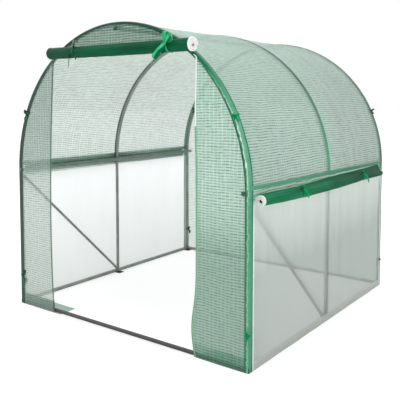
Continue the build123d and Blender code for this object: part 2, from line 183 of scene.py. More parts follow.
sides = {"left": -1, "right": 1}
post_low, post_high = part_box("front_post_right")
tube_radius = (post_high.x - post_low.x) / 2
hoop_radius = (post_high.x + post_low.x) / 2
hoop_y = {where: middle(f"{where}_post_right").y for where in ("front", "middle", "rear")}
front_y, middle_y, rear_y = hoop_y.values()
shoulder = middle("shoulder_rail_right").z
joint_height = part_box("front_arch_right")[0].z
tube_facets = 20
arch_steps = 40
joint_gap = 0.0003
neck_length = 0.006          # drawn-down end that shows below the arch
neck_radius = 0.93 * tube_radius
cut_rounding = 0.0008
y_axis = Vector((0, 1, 0))
upright = Vector((0, 0, 1))


def skin(mesh, rings):
    """Closed solid: faces from each ring of points to the next, and a cap at either end."""
    rows = [[mesh.verts.new(point) for point in ring] for ring in rings]
    for near, far in zip(rows, rows[1:]):
        for i in range(len(near)):
            j = (i + 1) % len(near)
            mesh.faces.new((near[i], near[j], far[j], far[i]))
    mesh.faces.new(reversed(rows[0]))
    mesh.faces.new(rows[-1])


def ring(centre, right, up, facets=tube_facets):
    """Points round a centre. The lengths of right and up are the radii of the ring."""
    turns = [2 * pi * i / facets for i in range(facets)]
    return [centre + right * cos(a) + up * sin(a) for a in turns]


def tube(mesh, path, side):
    """Round tube through stops of (x, y, z, radius), on a path that is square to the direction side."""
    points = [Vector(stop[:3]) for stop in path]
    last = len(path) - 1
    rings = []
    for i, point in enumerate(points):
        radius = path[i][3]
        along = (points[min(i + 1, last)] - points[max(i - 1, 0)]).normalized()
        up = along.cross(side)
        if i == 0:
            rings.append(ring(point, side * (radius - cut_rounding), up * (radius - cut_rounding)))
            point = point + along * cut_rounding
        if i == last:
            rings.append(ring(point - along * cut_rounding, side * radius, up * radius))
            radius -= cut_rounding
        rings.append(ring(point, side * radius, up * radius))
    skin(mesh, rings)


def place_piece(name, mesh, material, slot, *stands_for, sharp=35):
    """Turns a mesh into a finished piece that rides on the tunnel, in place of the named frame nodes."""
    bmesh.ops.recalc_face_normals(mesh, faces=mesh.faces)
    data = bpy.data.meshes.new(name)
    mesh.to_mesh(data)
    mesh.free()
    data.materials.append(material)
    data.shade_smooth()
    data.set_sharp_from_angle(angle=radians(sharp))
    piece = bpy.data.objects.new(name, data)
    bpy.context.scene.collection.objects.link(piece)
    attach(piece, "root")
    if stands_for:
        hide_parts(*stands_for)
    return piece


def powder_coated_steel(tree, colour, dark_colour):
    """Baked polyester powder on steel: satin, with a faint orange peel and duller, darker patches."""
    orange_peel_mm = 1.5
    patch_mm = 90
    where = add_node(tree, "TexCoord").outputs["Object"]
    patches = add_node(tree, "TexNoise", {"Vector": where, "Scale": 1000 / patch_mm, "Detail": 4})
    peel = add_node(tree, "TexNoise", {"Vector": where, "Scale": 1000 / orange_peel_mm, "Detail": 2})
    tint = add_node(tree, "ValToRGB", {"Fac": patches}, stops=((0.35, dark_colour), (0.65, colour)))
    gloss = add_node(tree, "MapRange", {"Value": patches, "To Min": 0.38, "To Max": 0.55})
    relief = add_node(tree, "Bump", {"Height": peel, "Strength": 0.15, "Distance": 0.0002})
    return add_node(tree, "BsdfPrincipled", {"Base Color": tint, "Roughness": gloss, "Normal": relief})


steel = new_material("powder_coated_steel_tube", powder_coated_steel, "#9da09d", "#8a8d8a")
for where, y in hoop_y.items():
    for side, sign in sides.items():
        x = sign * hoop_radius
        foot_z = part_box(f"{where}_post_{side}")[0].z
        top_z = joint_height - joint_gap
        post = bmesh.new()
        tube(post, [(x, y, foot_z, tube_radius), (x, y, top_z - neck_length, tube_radius),
                    (x, y, top_z, neck_radius)], y_axis)
        place_piece(f"{where}_{side}_post_tube", post, steel, "steel_tube", f"{where}_post_{side}")

        arch = bmesh.new()
        path = [(x, y, joint_height, tube_radius)]
        for step in range(arch_steps + 1):
            angle = (pi / 2 - joint_gap / hoop_radius) * step / arch_steps
            path.append((x * cos(angle), y, shoulder + hoop_radius * sin(angle), tube_radius))
        tube(arch, path, y_axis)
        place_piece(f"{where}_{side}_arch_tube", arch, steel, "steel_tube", f"{where}_arch_{side}")


# ---- Rails ----
# The base frame is the same tube, cut between the feet. The shoulder rails and the ridge rail lie
# against the inside of the hoops, each in two lengths, the front one drawn down to enter the other.
rail_x = middle("shoulder_rail_right").x
ridge = middle("ridge_rail").z
base_height = middle("front_base_rail").z
rail_gap = tube_radius + joint_gap
rail_joint_y = middle_y + 0.060
# The front base tube takes a darker copy of the steel.
darker_steel = new_material("darker_powder_coated_steel", powder_coated_steel, "#3d3d38", "#30302c")
# Painted shade: the long rails take a greener, darker copy of the steel, for the shade and green light under
# the cover.
shaded_steel = new_material("powder_coated_steel_under_cover", powder_coated_steel, "#7f8c86", "#6c7973")

for side, sign in sides.items():
    rail = bmesh.new()
    x = sign * hoop_radius
    for start, end in ((front_y, middle_y), (middle_y, rear_y)):
        tube(rail, [(x, start + rail_gap, base_height, tube_radius),
                    (x, end - rail_gap, base_height, tube_radius)], upright)
    place_piece(f"{side}_base_tubes", rail, steel, "steel_tube", f"base_rail_{side}")

for where, coat in (("front", darker_steel), ("rear", steel)):
    reach = hoop_radius - rail_gap
    rail = bmesh.new()
    tube(rail, [(-reach, hoop_y[where], base_height, tube_radius),
                (reach, hoop_y[where], base_height, tube_radius)], upright)
    place_piece(f"{where}_base_tube", rail, coat, "steel_tube", f"{where}_base_rail")

rails = {"shoulder_rail_left": (-rail_x, shoulder), "shoulder_rail_right": (rail_x, shoulder),
         "ridge_rail": (0, ridge)}
for node, (x, z) in rails.items():
    rail = bmesh.new()
    tube(rail, [(x, front_y - tube_radius, z, tube_radius), (x, rail_joint_y - neck_length, z, tube_radius),
                (x, rail_joint_y, z, neck_radius)], upright)
    tube(rail, [(x, rail_joint_y + joint_gap, z, tube_radius), (x, rear_y + tube_radius, z, tube_radius)],
         upright)
    place_piece(f"{node}_tubes", rail, shaded_steel, "steel_tube", node)


# ---- Screws ----
# Zinc-plated pan-head screws with washers, turned in from inside the tunnel. They hold each tube joint,
# and each rail to the hoop it crosses.
washer = ((0, 0.0070), (0.0012, 0.0070))
pan_head = ((0.0012, 0.0050), (0.0028, 0.0048), (0.0040, 0.0034), (0.0044, 0.0012))
screw_facets = 12
washer_seat = tube_radius - 0.0006    # the washer beds a little into the round of the tube
arch_screw = 0.022           # over the tube joint
post_screw = 0.014           # under it


def turned(mesh, seat, outward, profile, facets=tube_facets):
    """Turned solid: rings of (height over the seat, radius) along the direction outward."""
    right = outward.orthogonal().normalized()
    up = outward.cross(right)
    skin(mesh, [ring(seat + outward * h, right * r, up * r, facets) for h, r in profile])


def screw(mesh, seat, outward):
    """A screw's washer and head."""
    turned(mesh, seat, outward, washer, screw_facets)
    turned(mesh, seat, outward, pan_head, screw_facets)


def zinc_plated_steel(tree):
    """Bright zinc plating on a small fastener: metal grey with a soft, slightly mottled shine."""
    mottle_mm = 2.0
    where = add_node(tree, "TexCoord").outputs["Object"]
    mottle = add_node(tree, "TexNoise", {"Vector": where, "Scale": 1000 / mottle_mm, "Detail": 3})
    shine = add_node(tree, "MapRange", {"Value": mottle, "To Min": 0.28, "To Max": 0.5})
    tint = add_node(tree, "ValToRGB", {"Fac": mottle}, stops=((0, "#9a9da0"), (1, "#c4c6c8")))
    return add_node(tree, "BsdfPrincipled", {"Base Color": tint, "Metallic": 1.0, "Roughness": shine})


zinc = new_material("zinc_plated_screw", zinc_plated_steel)
screws = bmesh.new()
for y in hoop_y.values():
    for sign in sides.values():
        inward = Vector((-sign, 0, 0))
        for z in (joint_height + arch_screw, joint_height - post_screw):
            screw(screws, Vector((sign * (hoop_radius - washer_seat), y, z)), inward)
        screw(screws, Vector((sign * (rail_x - washer_seat), y, shoulder)), inward)
    screw(screws, Vector((0, y, ridge - washer_seat)), -upright)
place_piece("joint_screws", screws, zinc, "steel_tube")


# ---- Feet ----
# Moulded nylon feet plug into the tubes at the ground and stand on square sole plates. They keep
# their own form from the frame and only take the finish of the plastic.
def moulded_nylon(tree, colour, dark_colour):
    """Glass-filled nylon, moulded: matt, slightly cloudy, with a fine spark-eroded grain."""
    grain_mm = 0.8
    cloud_mm = 25
    where = add_node(tree, "TexCoord").outputs["Object"]
    grain = add_node(tree, "TexNoise", {"Vector": where, "Scale": 1000 / grain_mm, "Detail": 2})
    cloud = add_node(tree, "TexNoise", {"Vector": where, "Scale": 1000 / cloud_mm, "Detail": 3})
    tint = add_node(tree, "ValToRGB", {"Fac": cloud}, stops=((0, dark_colour), (1, colour)))
    relief = add_node(tree, "Bump", {"Height": grain, "Strength": 0.35, "Distance": 0.0002})
    return add_node(tree, "BsdfPrincipled", {"Base Color": tint, "Roughness": 0.62, "Normal": relief})


nylon = new_material("moulded_nylon_fitting", moulded_nylon, "#565957", "#3c3f3d")
for node in ("corner_feet", "side_feet"):
    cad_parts[node].data.materials.clear()
    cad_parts[node].data.materials.append(nylon)


# ---- Braces ----
# One thinner tube on each side stiffens the front bay. It runs from the front post, under the
# shoulder, to the foot of the middle hoop, and is pressed flat at both ends to take a bolt.
brace_radius = 0.0100
brace_drop = 0.040           # its upper bolt under the shoulder
tab_half_width = 0.012
tab_half_thickness = 0.0015
tab_length = 0.030
crush_length = 0.030
crush_steps = 5
for side, sign in sides.items():
    x = sign * (hoop_radius - tube_radius - joint_gap - tab_half_thickness)
    top = Vector((x, front_y, shoulder - brace_drop))
    bottom = Vector((x, middle_y, base_height))
    along = (bottom - top).normalized()
    across_face = along.cross(Vector((1, 0, 0)))
    stretch = (bottom - top).length
    shape = [(-tab_half_width, 0), (-0.7 * tab_half_width, 0)]
    shape += [(tab_length + crush_length * k / crush_steps, k / crush_steps) for k in range(crush_steps + 1)]
    shape += [(stretch - d, roundness) for d, roundness in reversed(shape)]
    rings = []
    for distance, roundness in shape:
        swell = roundness * roundness * (3 - 2 * roundness)
        thick = tab_half_thickness + (brace_radius - tab_half_thickness) * swell
        wide = tab_half_width + (brace_radius - tab_half_width) * swell
        if distance < -0.9 * tab_half_width or distance > stretch + 0.9 * tab_half_width:
            wide *= 0.6
        rings.append(ring(top + along * distance, Vector((thick, 0, 0)), across_face * wide))
    brace = bmesh.new()
    skin(brace, rings)
    place_piece(f"{side}_brace_tube", brace, steel, "steel_tube", f"brace_{side}")
    bolts = bmesh.new()
    inward = Vector((-sign, 0, 0))
    for seat in (top, bottom):
        screw(bolts, seat + inward * (tab_half_thickness + 0.0001), inward)
    place_piece(f"{side}_brace_bolts", bolts, zinc, "steel_tube")


# ---- Knobs ----
# A domed nylon knob closes each end of the three long rails. Its stem passes through an eyelet in
# the end panel, so that the knob holds the cloth to the frame.
knob_stand = tube_radius + 0.0021     # hoop plane to the underside of a knob's head
stem_radius = 0.0105
knob_profile = ((-0.020, stem_radius), (0, stem_radius), (0, 0.0142), (0.0022, 0.0142), (0.0050, 0.0132),
                (0.0072, 0.0104), (0.0080, 0.0060), (0.0082, 0.0015))
knobs = bmesh.new()
for x, z in rails.values():
    for end_y, direction in ((front_y, -1), (rear_y, 1)):
        outward = y_axis * direction
        turned(knobs, Vector((x, end_y, z)) + outward * knob_stand, outward, knob_profile)
green_nylon = new_material("moulded_green_nylon_cap", moulded_nylon, "#2a6a4e", "#1d4f3a")
place_piece("rail_end_knobs", knobs, green_nylon, "moulded_fitting", "rail_knobs")


# ---- Side netting ----
# Below the roof cover each side is closed by a fine white insect net, sewn to the cover's edge and
# hanging to the ground, where a doubled hem strengthens it. White zips run up beside the end hoops.
net_low, net_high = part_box("side_film_right")
net_x = (net_low.x + net_high.x) / 2
net_top = net_high.z
net_hollow = 0.008           # how far the net draws in midway between two hoops
net_pucker = 0.0025
net_hems = {"left": 0.028, "right": 0.052}
zip_from_hoop = 0.022
zip_width = 0.012
zip_foot = 0.003
zip_length = net_top - 0.02
lift = 0.0008                # from one layer of cloth to the next
cloth_end = 0.002            # the cloth goes just past the middle of the end hoops, under their tapes
cloth_front = front_y - cloth_end
cloth_length = rear_y - front_y + 2 * cloth_end


def bay(y):
    """0 at each hoop and 1 midway between two hoops."""
    share = min(max((y - front_y) / (middle_y - front_y), 0), 2) % 1
    return 4 * share * (1 - share)


def hang(name, place, flat, columns, rows, material, slot, *stands_for, held="stretched", rests_on=()):
    """Hangs a cloth. place(s, t) is a point of it, at shares across and along it. flat(s, t) is that point
    of the uncut cloth, or flat is the width and length of a plain rectangle."""
    if isinstance(flat, tuple):
        def on_flat(s, t):
            return flat[0] * s, flat[1] * t
    else:
        on_flat = flat
    mesh = bmesh.new()
    grain = mesh.loops.layers.uv.new("cloth")
    lines = [[(i / columns, j / rows) for i in range(columns + 1)] for j in range(rows + 1)]
    points = [[mesh.verts.new(place(s, t)) for s, t in line] for line in lines]
    for j in range(rows):
        for i in range(columns):
            corners = ((i, j), (i + 1, j), (i + 1, j + 1), (i, j + 1))
            face = mesh.faces.new([points[b][a] for a, b in corners])
            for loop, (a, b) in zip(face.loops, corners):
                loop[grain].uv = on_flat(*lines[b][a])
    bmesh.ops.remove_doubles(mesh, verts=mesh.verts, dist=1e-5)
    bmesh.ops.dissolve_degenerate(mesh, edges=mesh.edges, dist=1e-6)
    piece = place_piece(name, mesh, material, slot, *stands_for, sharp=180)
    border = lines[0][:-1] + [line[-1] for line in lines[:-1]]
    border += lines[-1][:0:-1] + [line[0] for line in lines[:0:-1]]
    cut = [on_flat(*spot) for spot in border]


def threads(tree, cloth, axis, pitch_mm, width_mm, soft_mm):
    """Mask of evenly spaced threads that run square to an axis of the cloth, with soft borders."""
    along = add_node(tree, "SeparateXYZ", {"Vector": cloth}).outputs[axis]
    fold = add_node(tree, "Math", {0: along, 1: pitch_mm / 2000}, operation="PINGPONG")
    return add_node(tree, "MapRange", {"Value": fold, "From Min": width_mm / 2000 + soft_mm / 1000,
                                       "From Max": width_mm / 2000 - soft_mm / 1000},
                    interpolation_type="SMOOTHSTEP")


def warped_cloth(tree, *sways):
    """The cloth's own coordinates, pushed about as its threads wander. A sway is (reach, size) in mm."""
    cloth = add_node(tree, "UVMap", uv_map="cloth")
    for reach_mm, size_mm in sways:
        wander = add_node(tree, "TexNoise", {"Vector": cloth, "Scale": 1000 / size_mm, "Detail": 2})
        centred = add_node(tree, "VectorMath", {0: wander.outputs["Color"], 1: (0.5, 0.5, 0.5)},
                           operation="SUBTRACT")
        push = add_node(tree, "VectorMath", {0: centred, "Scale": reach_mm / 500}, operation="SCALE")
        cloth = add_node(tree, "VectorMath", {0: cloth, 1: push}, operation="ADD")
    return cloth


def streaked(tree, cloth, width_mm, length_mm):
    """Noise over the cloth, in patches of that width and length."""
    per_metre = (1000 / width_mm, 1000 / length_mm, 1)
    stretched = add_node(tree, "VectorMath", {0: cloth, 1: per_metre}, operation="MULTIPLY")
    return add_node(tree, "TexNoise", {"Vector": stretched, "Scale": 1, "Detail": 3, "Roughness": 0.6})


def see_through(tree, tint, glow_tint, relief, roughness, glow_share, cover, shine=0.4):
    """Thin cloth: a face that reflects, a glow from the light behind it, and its open or clear share."""
    face = add_node(tree, "BsdfPrincipled", {"Base Color": tint, "Roughness": roughness, "Normal": relief,
                                             "Specular IOR Level": shine})
    glow = add_node(tree, "BsdfTranslucent", {"Color": glow_tint, "Normal": relief})
    cloth = add_node(tree, "MixShader", {0: glow_share, 1: face, 2: glow})
    clear = add_node(tree, "BsdfTransparent", {"Color": linear("#ffffff")})
    return add_node(tree, "MixShader", {0: cover, 1: clear, 2: cloth})


def fine_net(tree, cover, glow_share, foot_colour, low_colour, top_colour):
    """Knitted monofilament net: white and half see-through, smooth, with painted shade towards the ground.
    """
    knit_mm = 6.0            # real threads stand 1 mm apart; drawn coarser so that they show
    yarn_mm = 2.2
    cloth = warped_cloth(tree, (2, 120))
    warp, weft = (threads(tree, cloth, axis, knit_mm, yarn_mm, 1.0) for axis in (0, 1))
    knit = add_node(tree, "Math", {0: warp, 1: weft}, operation="MAXIMUM")
    creases = streaked(tree, cloth, 143, 833)
    height = add_node(tree, "SeparateXYZ", {"Vector": cloth}).outputs["Y"]
    # Painted shade: the net darkens towards the ground.
    clean = add_node(tree, "MapRange", {"Value": height, "From Max": net_top, "To Min": -0.12,
                                        "To Max": 0.88})
    crease = add_node(tree, "Math", {0: creases, 1: 0.24}, operation="MULTIPLY")
    level = add_node(tree, "Math", {0: clean, 1: crease}, operation="ADD")
    tint = add_node(tree, "ValToRGB", {"Fac": level},
                    stops=((0, foot_colour), (0.55, low_colour), (1, top_colour)))
    relief = add_node(tree, "Bump", {"Height": creases, "Strength": 0.3, "Distance": 0.003})
    full = add_node(tree, "MapRange", {"Value": knit, "To Min": cover - 0.06, "To Max": cover + 0.05})
    return see_through(tree, tint, tint, relief, 0.7, glow_share, full)


def zip_tape(tree, colour, tooth_colour, width):
    """Polyester zip: matt woven tape with a row of moulded teeth down one side."""
    tooth_mm = 9.0           # real teeth are 2.5 mm apart; drawn coarser so that they show
    axes = add_node(tree, "SeparateXYZ", {"Vector": add_node(tree, "UVMap", uv_map="cloth")})
    beat = add_node(tree, "Math", {0: axes.outputs["Y"], 1: tooth_mm / 2000}, operation="PINGPONG")
    tooth = add_node(tree, "MapRange", {"Value": beat, "From Min": tooth_mm / 5000,
                                        "From Max": tooth_mm / 3500})
    lane = add_node(tree, "MapRange", {"Value": axes.outputs["X"], "From Min": 0.55 * width,
                                       "From Max": 0.45 * width})
    teeth = add_node(tree, "Math", {0: tooth, 1: lane}, operation="MULTIPLY")
    tint = add_node(tree, "ValToRGB", {"Fac": teeth}, stops=((0, colour), (1, tooth_colour)))
    relief = add_node(tree, "Bump", {"Height": teeth, "Strength": 0.6, "Distance": 0.001})
    return add_node(tree, "BsdfPrincipled", {"Base Color": tint, "Roughness": 0.55, "Normal": relief})


# The right net is a darker copy of the left one: painted shade.
nets = {"left": new_material("fine_white_netting", fine_net, 0.82, 0.62, "#d0d5d3", "#e6eaea", "#fbfdff"),
        "right": new_material("fine_netting_painted_in_shade", fine_net, 0.80, 0.62, "#b4bab5", "#b9c0bb", "#f0f5f2")}
net_doubled = new_material("doubled_hem_of_netting", fine_net, 1.0, 0.1, "#c6ccc6", "#cdd2cd", "#d4d8d4")
white_zip = new_material("white_polyester_zip", zip_tape, "#f4f7f4", "#cfdcd4", zip_width)
for side, sign in sides.items():
    def net_place(s, t, top=net_top, out=0.0):
        """Point of the side net, or of a layer that far out from it, at shares along and up."""
        y = cloth_front + cloth_length * s
        z = top * t
        belly = net_hollow * bay(y) * (1 - (1 - z / net_top) ** 4)
        folds = noise.noise(Vector((y * 6, z * 0.9, sign * 5))) * net_pucker * (0.4 + bay(y))
        return Vector((sign * (net_x - belly + min(folds, 0.001) + out), y, z))

    hang(f"{side}_side_net", net_place, (cloth_length, net_top), 90, 26, nets[side], "side_film",
         f"side_film_{side}", held="hung", rests_on=(f"{side}_base_tubes",))
    net_hem = net_hems[side]
    hang(f"{side}_net_hem", lambda s, t: net_place(s, t, net_hem, lift), (cloth_length, net_hem), 90, 3,
         net_doubled, "side_film", held="hung", rests_on=(f"{side}_side_net",))
    for where, inward in (("front", 1), ("rear", -1)):
        def zip_place(s, t):
            """Point of the zip beside an end hoop."""
            y = hoop_y[where] + inward * (zip_from_hoop + zip_width * s)
            return Vector((sign * (net_x + 2 * lift), y, zip_foot + zip_length * t))

        hang(f"{side}_{where}_net_zip", zip_place, (zip_width, zip_length), 1, 40, white_zip, "zip_tape",
             held="hung", rests_on=(f"{side}_side_net",))


# ---- Roof cover ----
# One sheet of green reinforced film: a leno grid of polyethylene tapes between two clear films. It
# lies over the hoops from seam to seam, hollow between them, with its dark threads along the tunnel.
roof_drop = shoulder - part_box("roof_cover")[0].z
roof_radius = net_x
roof_span = 2 * roof_drop + pi * roof_radius
roof_hollow = 0.013
roof_ripple = 0.0060


def around(distance, straight, radius):
    """Place and outward direction on the tunnel's section, at a distance from its left lower edge."""
    if distance < straight:
        return Vector((-radius, 0, shoulder - straight + distance)), Vector((-1, 0, 0))
    if distance > straight + pi * radius:
        return Vector((radius, 0, shoulder - (distance - straight - pi * radius))), Vector((1, 0, 0))
    angle = pi - (distance - straight) / radius
    outward = Vector((cos(angle), 0, sin(angle)))
    return Vector((0, 0, shoulder)) + outward * radius, outward


def reinforced_film(tree, colours, film_cover, glow_share, slub_mm=70, crinkled=0.15, dirt=(-1, -2),
                    rinsed=9, checked=0.1):
    """Clear film over a grid of tapes: milky, with dark slubbed threads one way and pale ones the other, and
    painted shade in its crinkles.

    colours are those of the film, of its worn folds and painted grey, of the pale and the dark threads, of
    light through it, and of its painted shading. dirt are the two places up the cloth between which
    that shading comes in and less light goes through: painted shade, paler on the left strip as painted
    light.
    rinsed is where half of it has gone again, checked is how much the pale threads break the dark
    ones, and crinkled is how dark the crinkles are painted.
    """
    tape_mm = 16.0           # real tapes stand about 5 mm apart; drawn coarser so that they show
    painted_grey_from = 0.9          # distance from the door end over which the roof's shaded side is painted greyer
    painted_grey_to = 1.6
    film_colour, worn_colour, pale_thread, dark_thread, lit_colour, dirty_colour = map(linear, colours)
    cloth = warped_cloth(tree, (11, 200), (3.5, 50))
    dark = threads(tree, cloth, 1, tape_mm, 6.2, 2.2)
    shifted = add_node(tree, "VectorMath", {0: cloth, 1: (0, tape_mm / 2000, 0)}, operation="ADD")
    beside = threads(tree, shifted, 1, tape_mm, 4.0, 2.0)
    crossing = threads(tree, cloth, 0, 1.7 * tape_mm, 7.0, 3.0)
    pale = add_node(tree, "Math", {0: beside, 1: crossing}, operation="MAXIMUM")
    slubs = streaked(tree, cloth, slub_mm, 16.1)
    strength = add_node(tree, "MapRange", {"Value": slubs, "From Min": 0.36, "From Max": 0.62,
                                           "To Min": 0.30, "To Max": 0.85})
    under = add_node(tree, "MapRange", {"Value": crossing, "To Min": 1, "To Max": 1 - checked})
    seen = add_node(tree, "Math", {0: strength, 1: under}, operation="MULTIPLY")
    dark_share = add_node(tree, "Math", {0: dark, 1: seen}, operation="MULTIPLY")
    breaks = streaked(tree, cloth, 16.1, 143)
    paleness = add_node(tree, "MapRange", {"Value": breaks, "From Min": 0.36, "From Max": 0.62,
                                           "To Min": 0.2})
    pale_share = add_node(tree, "Math", {0: pale, 1: paleness}, operation="MULTIPLY")

    axes = add_node(tree, "SeparateXYZ", {"Vector": cloth})
    height = axes.outputs["Y"]
    shading_comes_in = add_node(tree, "MapRange", {"Value": height, "From Min": dirt[0], "From Max": dirt[1]},
                      interpolation_type="SMOOTHSTEP")
    shading_goes_out = add_node(tree, "MapRange", {"Value": height, "From Min": dirt[1], "From Max": rinsed,
                                         "To Min": 1, "To Max": 0.5})
    dirtiness = add_node(tree, "Math", {0: shading_comes_in, 1: shading_goes_out}, operation="MULTIPLY")
    dirt_share = add_node(tree, "Math", {0: dirtiness, 1: 0.7}, operation="MULTIPLY")
    folds = streaked(tree, cloth, 770, 222)
    wear = add_node(tree, "MapRange", {"Value": folds, "From Min": 0.42, "From Max": 0.70, "To Max": 0.75})
    toward_rear = add_node(tree, "MapRange", {"Value": axes.outputs["X"], "From Min": painted_grey_from,
                                      "From Max": painted_grey_to})
    painted_grey = add_node(tree, "Math", {0: toward_rear, 1: shading_comes_in}, operation="MULTIPLY")
    wear_and_painted_grey = add_node(tree, "Math", {0: wear, 1: painted_grey}, operation="ADD", use_clamp=True)
    # Painted shade in the crinkles: small patches in the dark thread's colour, letting less light through.
    crinkles = streaked(tree, cloth, 13.3, 9.1)
    crinkle = add_node(tree, "MapRange", {"Value": crinkles, "From Min": 0.44, "From Max": 0.66,
                                          "To Max": crinkled})

    # worn_colour takes both the wear of the folds and the painted grey.
    tint = film_colour
    for share, colour in ((wear_and_painted_grey, worn_colour), (crinkle, dark_thread), (pale_share, pale_thread),
                          (dirt_share, dirty_colour), (dark_share, dark_thread)):
        tint = add_node(tree, "Mix", {0: share, 6: tint, 7: colour}, data_type="RGBA")
    shade = add_node(tree, "Math", {0: dark_share, 1: crinkle}, operation="ADD")
    milkiness = add_node(tree, "MapRange", {"Value": shade, "To Min": 0.80, "To Max": 0.30})
    # Less light comes through where the shading is painted.
    clean = add_node(tree, "MapRange", {"Value": dirtiness, "To Min": 1, "To Max": 0.6})
    milk = add_node(tree, "Math", {0: milkiness, 1: clean}, operation="MULTIPLY")
    milky = add_node(tree, "Mix", {0: milk, 6: tint, 7: lit_colour}, data_type="RGBA")
    relief = add_node(tree, "Bump", {"Height": dark_share, "Strength": 0.4, "Distance": 0.0006})
    cover = add_node(tree, "MapRange", {"Value": dark_share, "To Min": film_cover, "To Max": 0.96})
    return see_through(tree, tint, milky, relief, 0.45, glow_share, cover, 0.15)


# Painted shade: the roof is drawn darker, and lets less light through, from the ridge down its right side.
roof_film = new_material("reinforced_green_film", reinforced_film,
                         ("#8cbba3", "#767f7b", "#c4e0d2", "#173f2e", "#f8fbfa", "#82b09a"), 0.83, 0.58,
                         dirt=(1.1, 1.9), rinsed=2.8)


def roof_place(s, t):
    """Point of the roof cover at shares along the tunnel and round it. Its rear bay is the slacker one."""
    y = cloth_front + cloth_length * s
    distance = roof_span * t
    place, outward = around(distance, roof_drop, roof_radius)
    ripple = noise.noise(Vector((y * 2.2, distance * 3.1, 1.7)))
    ripple += 0.4 * noise.noise(Vector((y * 7, distance * 4.3, 4.1)))
    if y > middle_y:
        ripple += 0.9 * noise.noise(Vector((y * 11, distance * 1.6, 7.3)))
    depth = bay(y) * (roof_hollow + roof_ripple * ripple)
    return place - outward * max(depth, 0) + y_axis * y


hang("roof_cover_film", roof_place, (cloth_length, roof_span), 84, 130, roof_film, "mesh_cover",
     "roof_cover", rests_on=("front_left_arch_tube", "ridge_rail_tubes"))


# ---- End panels ----
# Flat pieces of the same film close the ends: a strip on each side of the door and a half moon over
# it. They are stretched on the end hoops. The free edges of the front strips, where the door has
# been unzipped, hang in a slight curve. The rear end is closed by its own door.
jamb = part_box("front_panel_right")[0].x
door_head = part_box("front_panel_top")[0].z
rear_door_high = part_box("rear_door_panel")[1]
panel_radius = hoop_radius + 0.003    # the tape on the hoop covers the panel's rim
panel_y = {where: middle(f"{where}_panel_top").y for where in ("front", "rear")}
panel_swell = 0.004
door_swell = 0.006
edge_width = 0.001           # a strip is at least this wide, however far its free edge bows
jamb_gap = 0.003             # the door's half of the zip has gone with the door
# Each piece takes its own copy of the film, coloured for the light and shade it shows: painted light and
# shade, with the half moon darker, the left strip greyer and the right strip greener.
moon_film = new_material("reinforced_film_over_door", reinforced_film,
                         ("#5f8a74", "#71897d", "#9cbdac", "#0e2c20", "#9cb5a7", "#6f9a86"), 0.74, 0.5)
# Painted light and shade towards the ground: the left strip is paler there, the right strip darker and
# greener.
left_film = new_material("reinforced_film_of_left_strip", reinforced_film,
                         ("#839d90", "#94a19a", "#b8c8bf", "#2c5244", "#ccd6d0", "#d8e4dd"), 0.62, 0.5,
                         slub_mm=30, crinkled=0.55, dirt=(1.35, 0.7), checked=0.3)
right_film = new_material("reinforced_film_of_right_strip", reinforced_film,
                          ("#a9d7c1", "#b1d0bf", "#e6f8f0", "#1a5c43", "#e4f2eb", "#1d7350"), 0.86, 0.5,
                          slub_mm=35, dirt=(1.0, 0.55), checked=0.35)
rear_film = new_material("reinforced_film_of_rear_end", reinforced_film,
                         ("#94b8a6", "#9cb0a5", "#bcd4c8", "#3f6a56", "#f0f6f3", "#94b8a6"), 0.80, 0.6)
strip_films = {("front", "left"): left_film, ("front", "right"): right_film}
moon_films = {"front": moon_film, "rear": rear_film}


def hoop_edge(z):
    """Half width of the end wall at a height."""
    return panel_radius if z < shoulder else sqrt(max(panel_radius ** 2 - (z - shoulder) ** 2, 0))


def left_jamb(z):
    """Free edge of the left front strip: it bows towards the doorway at the top and at the foot."""
    bow = 0.0388 * (z - 0.6) ** 2 if z > 0.6 else 0.060 * (0.6 - z) ** 2
    return max(bow - jamb + jamb_gap, edge_width - hoop_edge(z))


def right_jamb(z):
    """Free edge of the right front strip: it bulges a little into the doorway, most over the ground."""
    bulge = 0.007 * exp(-((z - 1.42) / 0.20) ** 2) + 0.033 * exp(-((z - 0.17) / 0.17) ** 2)
    return min(jamb - jamb_gap - bulge, hoop_edge(z) - edge_width)


jambs = {("front", "left"): left_jamb,
         ("front", "right"): right_jamb,
         ("rear", "left"): lambda z: max(-jamb, edge_width - hoop_edge(z)),
         ("rear", "right"): lambda z: min(jamb, hoop_edge(z) - edge_width)}
for (where, side), edge in jambs.items():
    def strip_flat(s, t):
        """Point of a strip on the flat, from the door to the hoop and up."""
        z = door_head * t
        return edge(z) + (sides[side] * hoop_edge(z) - edge(z)) * s, z

    def strip_place(s, t):
        x, z = strip_flat(s, t)
        swell = sin(pi * s) * panel_swell * (0.5 + noise.noise(Vector((x * 3, z * 2.5, panel_y[where] * 3))))
        return Vector((x, panel_y[where] + (swell if where == "rear" else -swell), z))

    hang(f"{where}_{side}_strip", strip_place, strip_flat, 16, 70, strip_films.get((where, side), rear_film),
         "mesh_cover", f"{where}_panel_{side}", rests_on=(f"{where}_{side}_post_tube",))

for where, outward in (("front", -1), ("rear", 1)):
    def moon_flat(s, t):
        """Point of the half moon over the door, on the flat."""
        z = door_head + (shoulder + panel_radius - door_head) * t
        return (2 * s - 1) * hoop_edge(z), z

    def moon_place(s, t):
        x, z = moon_flat(s, t)
        swell = panel_swell * (1 - (2 * s - 1) ** 2) * (0.4 + noise.noise(Vector((x * 4, z * 5, outward))))
        return Vector((x, panel_y[where] + outward * swell * (1 - t), z))

    hang(f"{where}_moon", moon_place, moon_flat, 40, 16, moon_films[where], "mesh_cover",
         f"{where}_panel_top", rests_on=(f"{where}_left_arch_tube", f"{where}_right_arch_tube"))


def rear_door_flat(s, t):
    """Point of the closed rear door, on the flat."""
    z = rear_door_high.z * t
    return min(rear_door_high.x, hoop_edge(z)) * (2 * s - 1), z


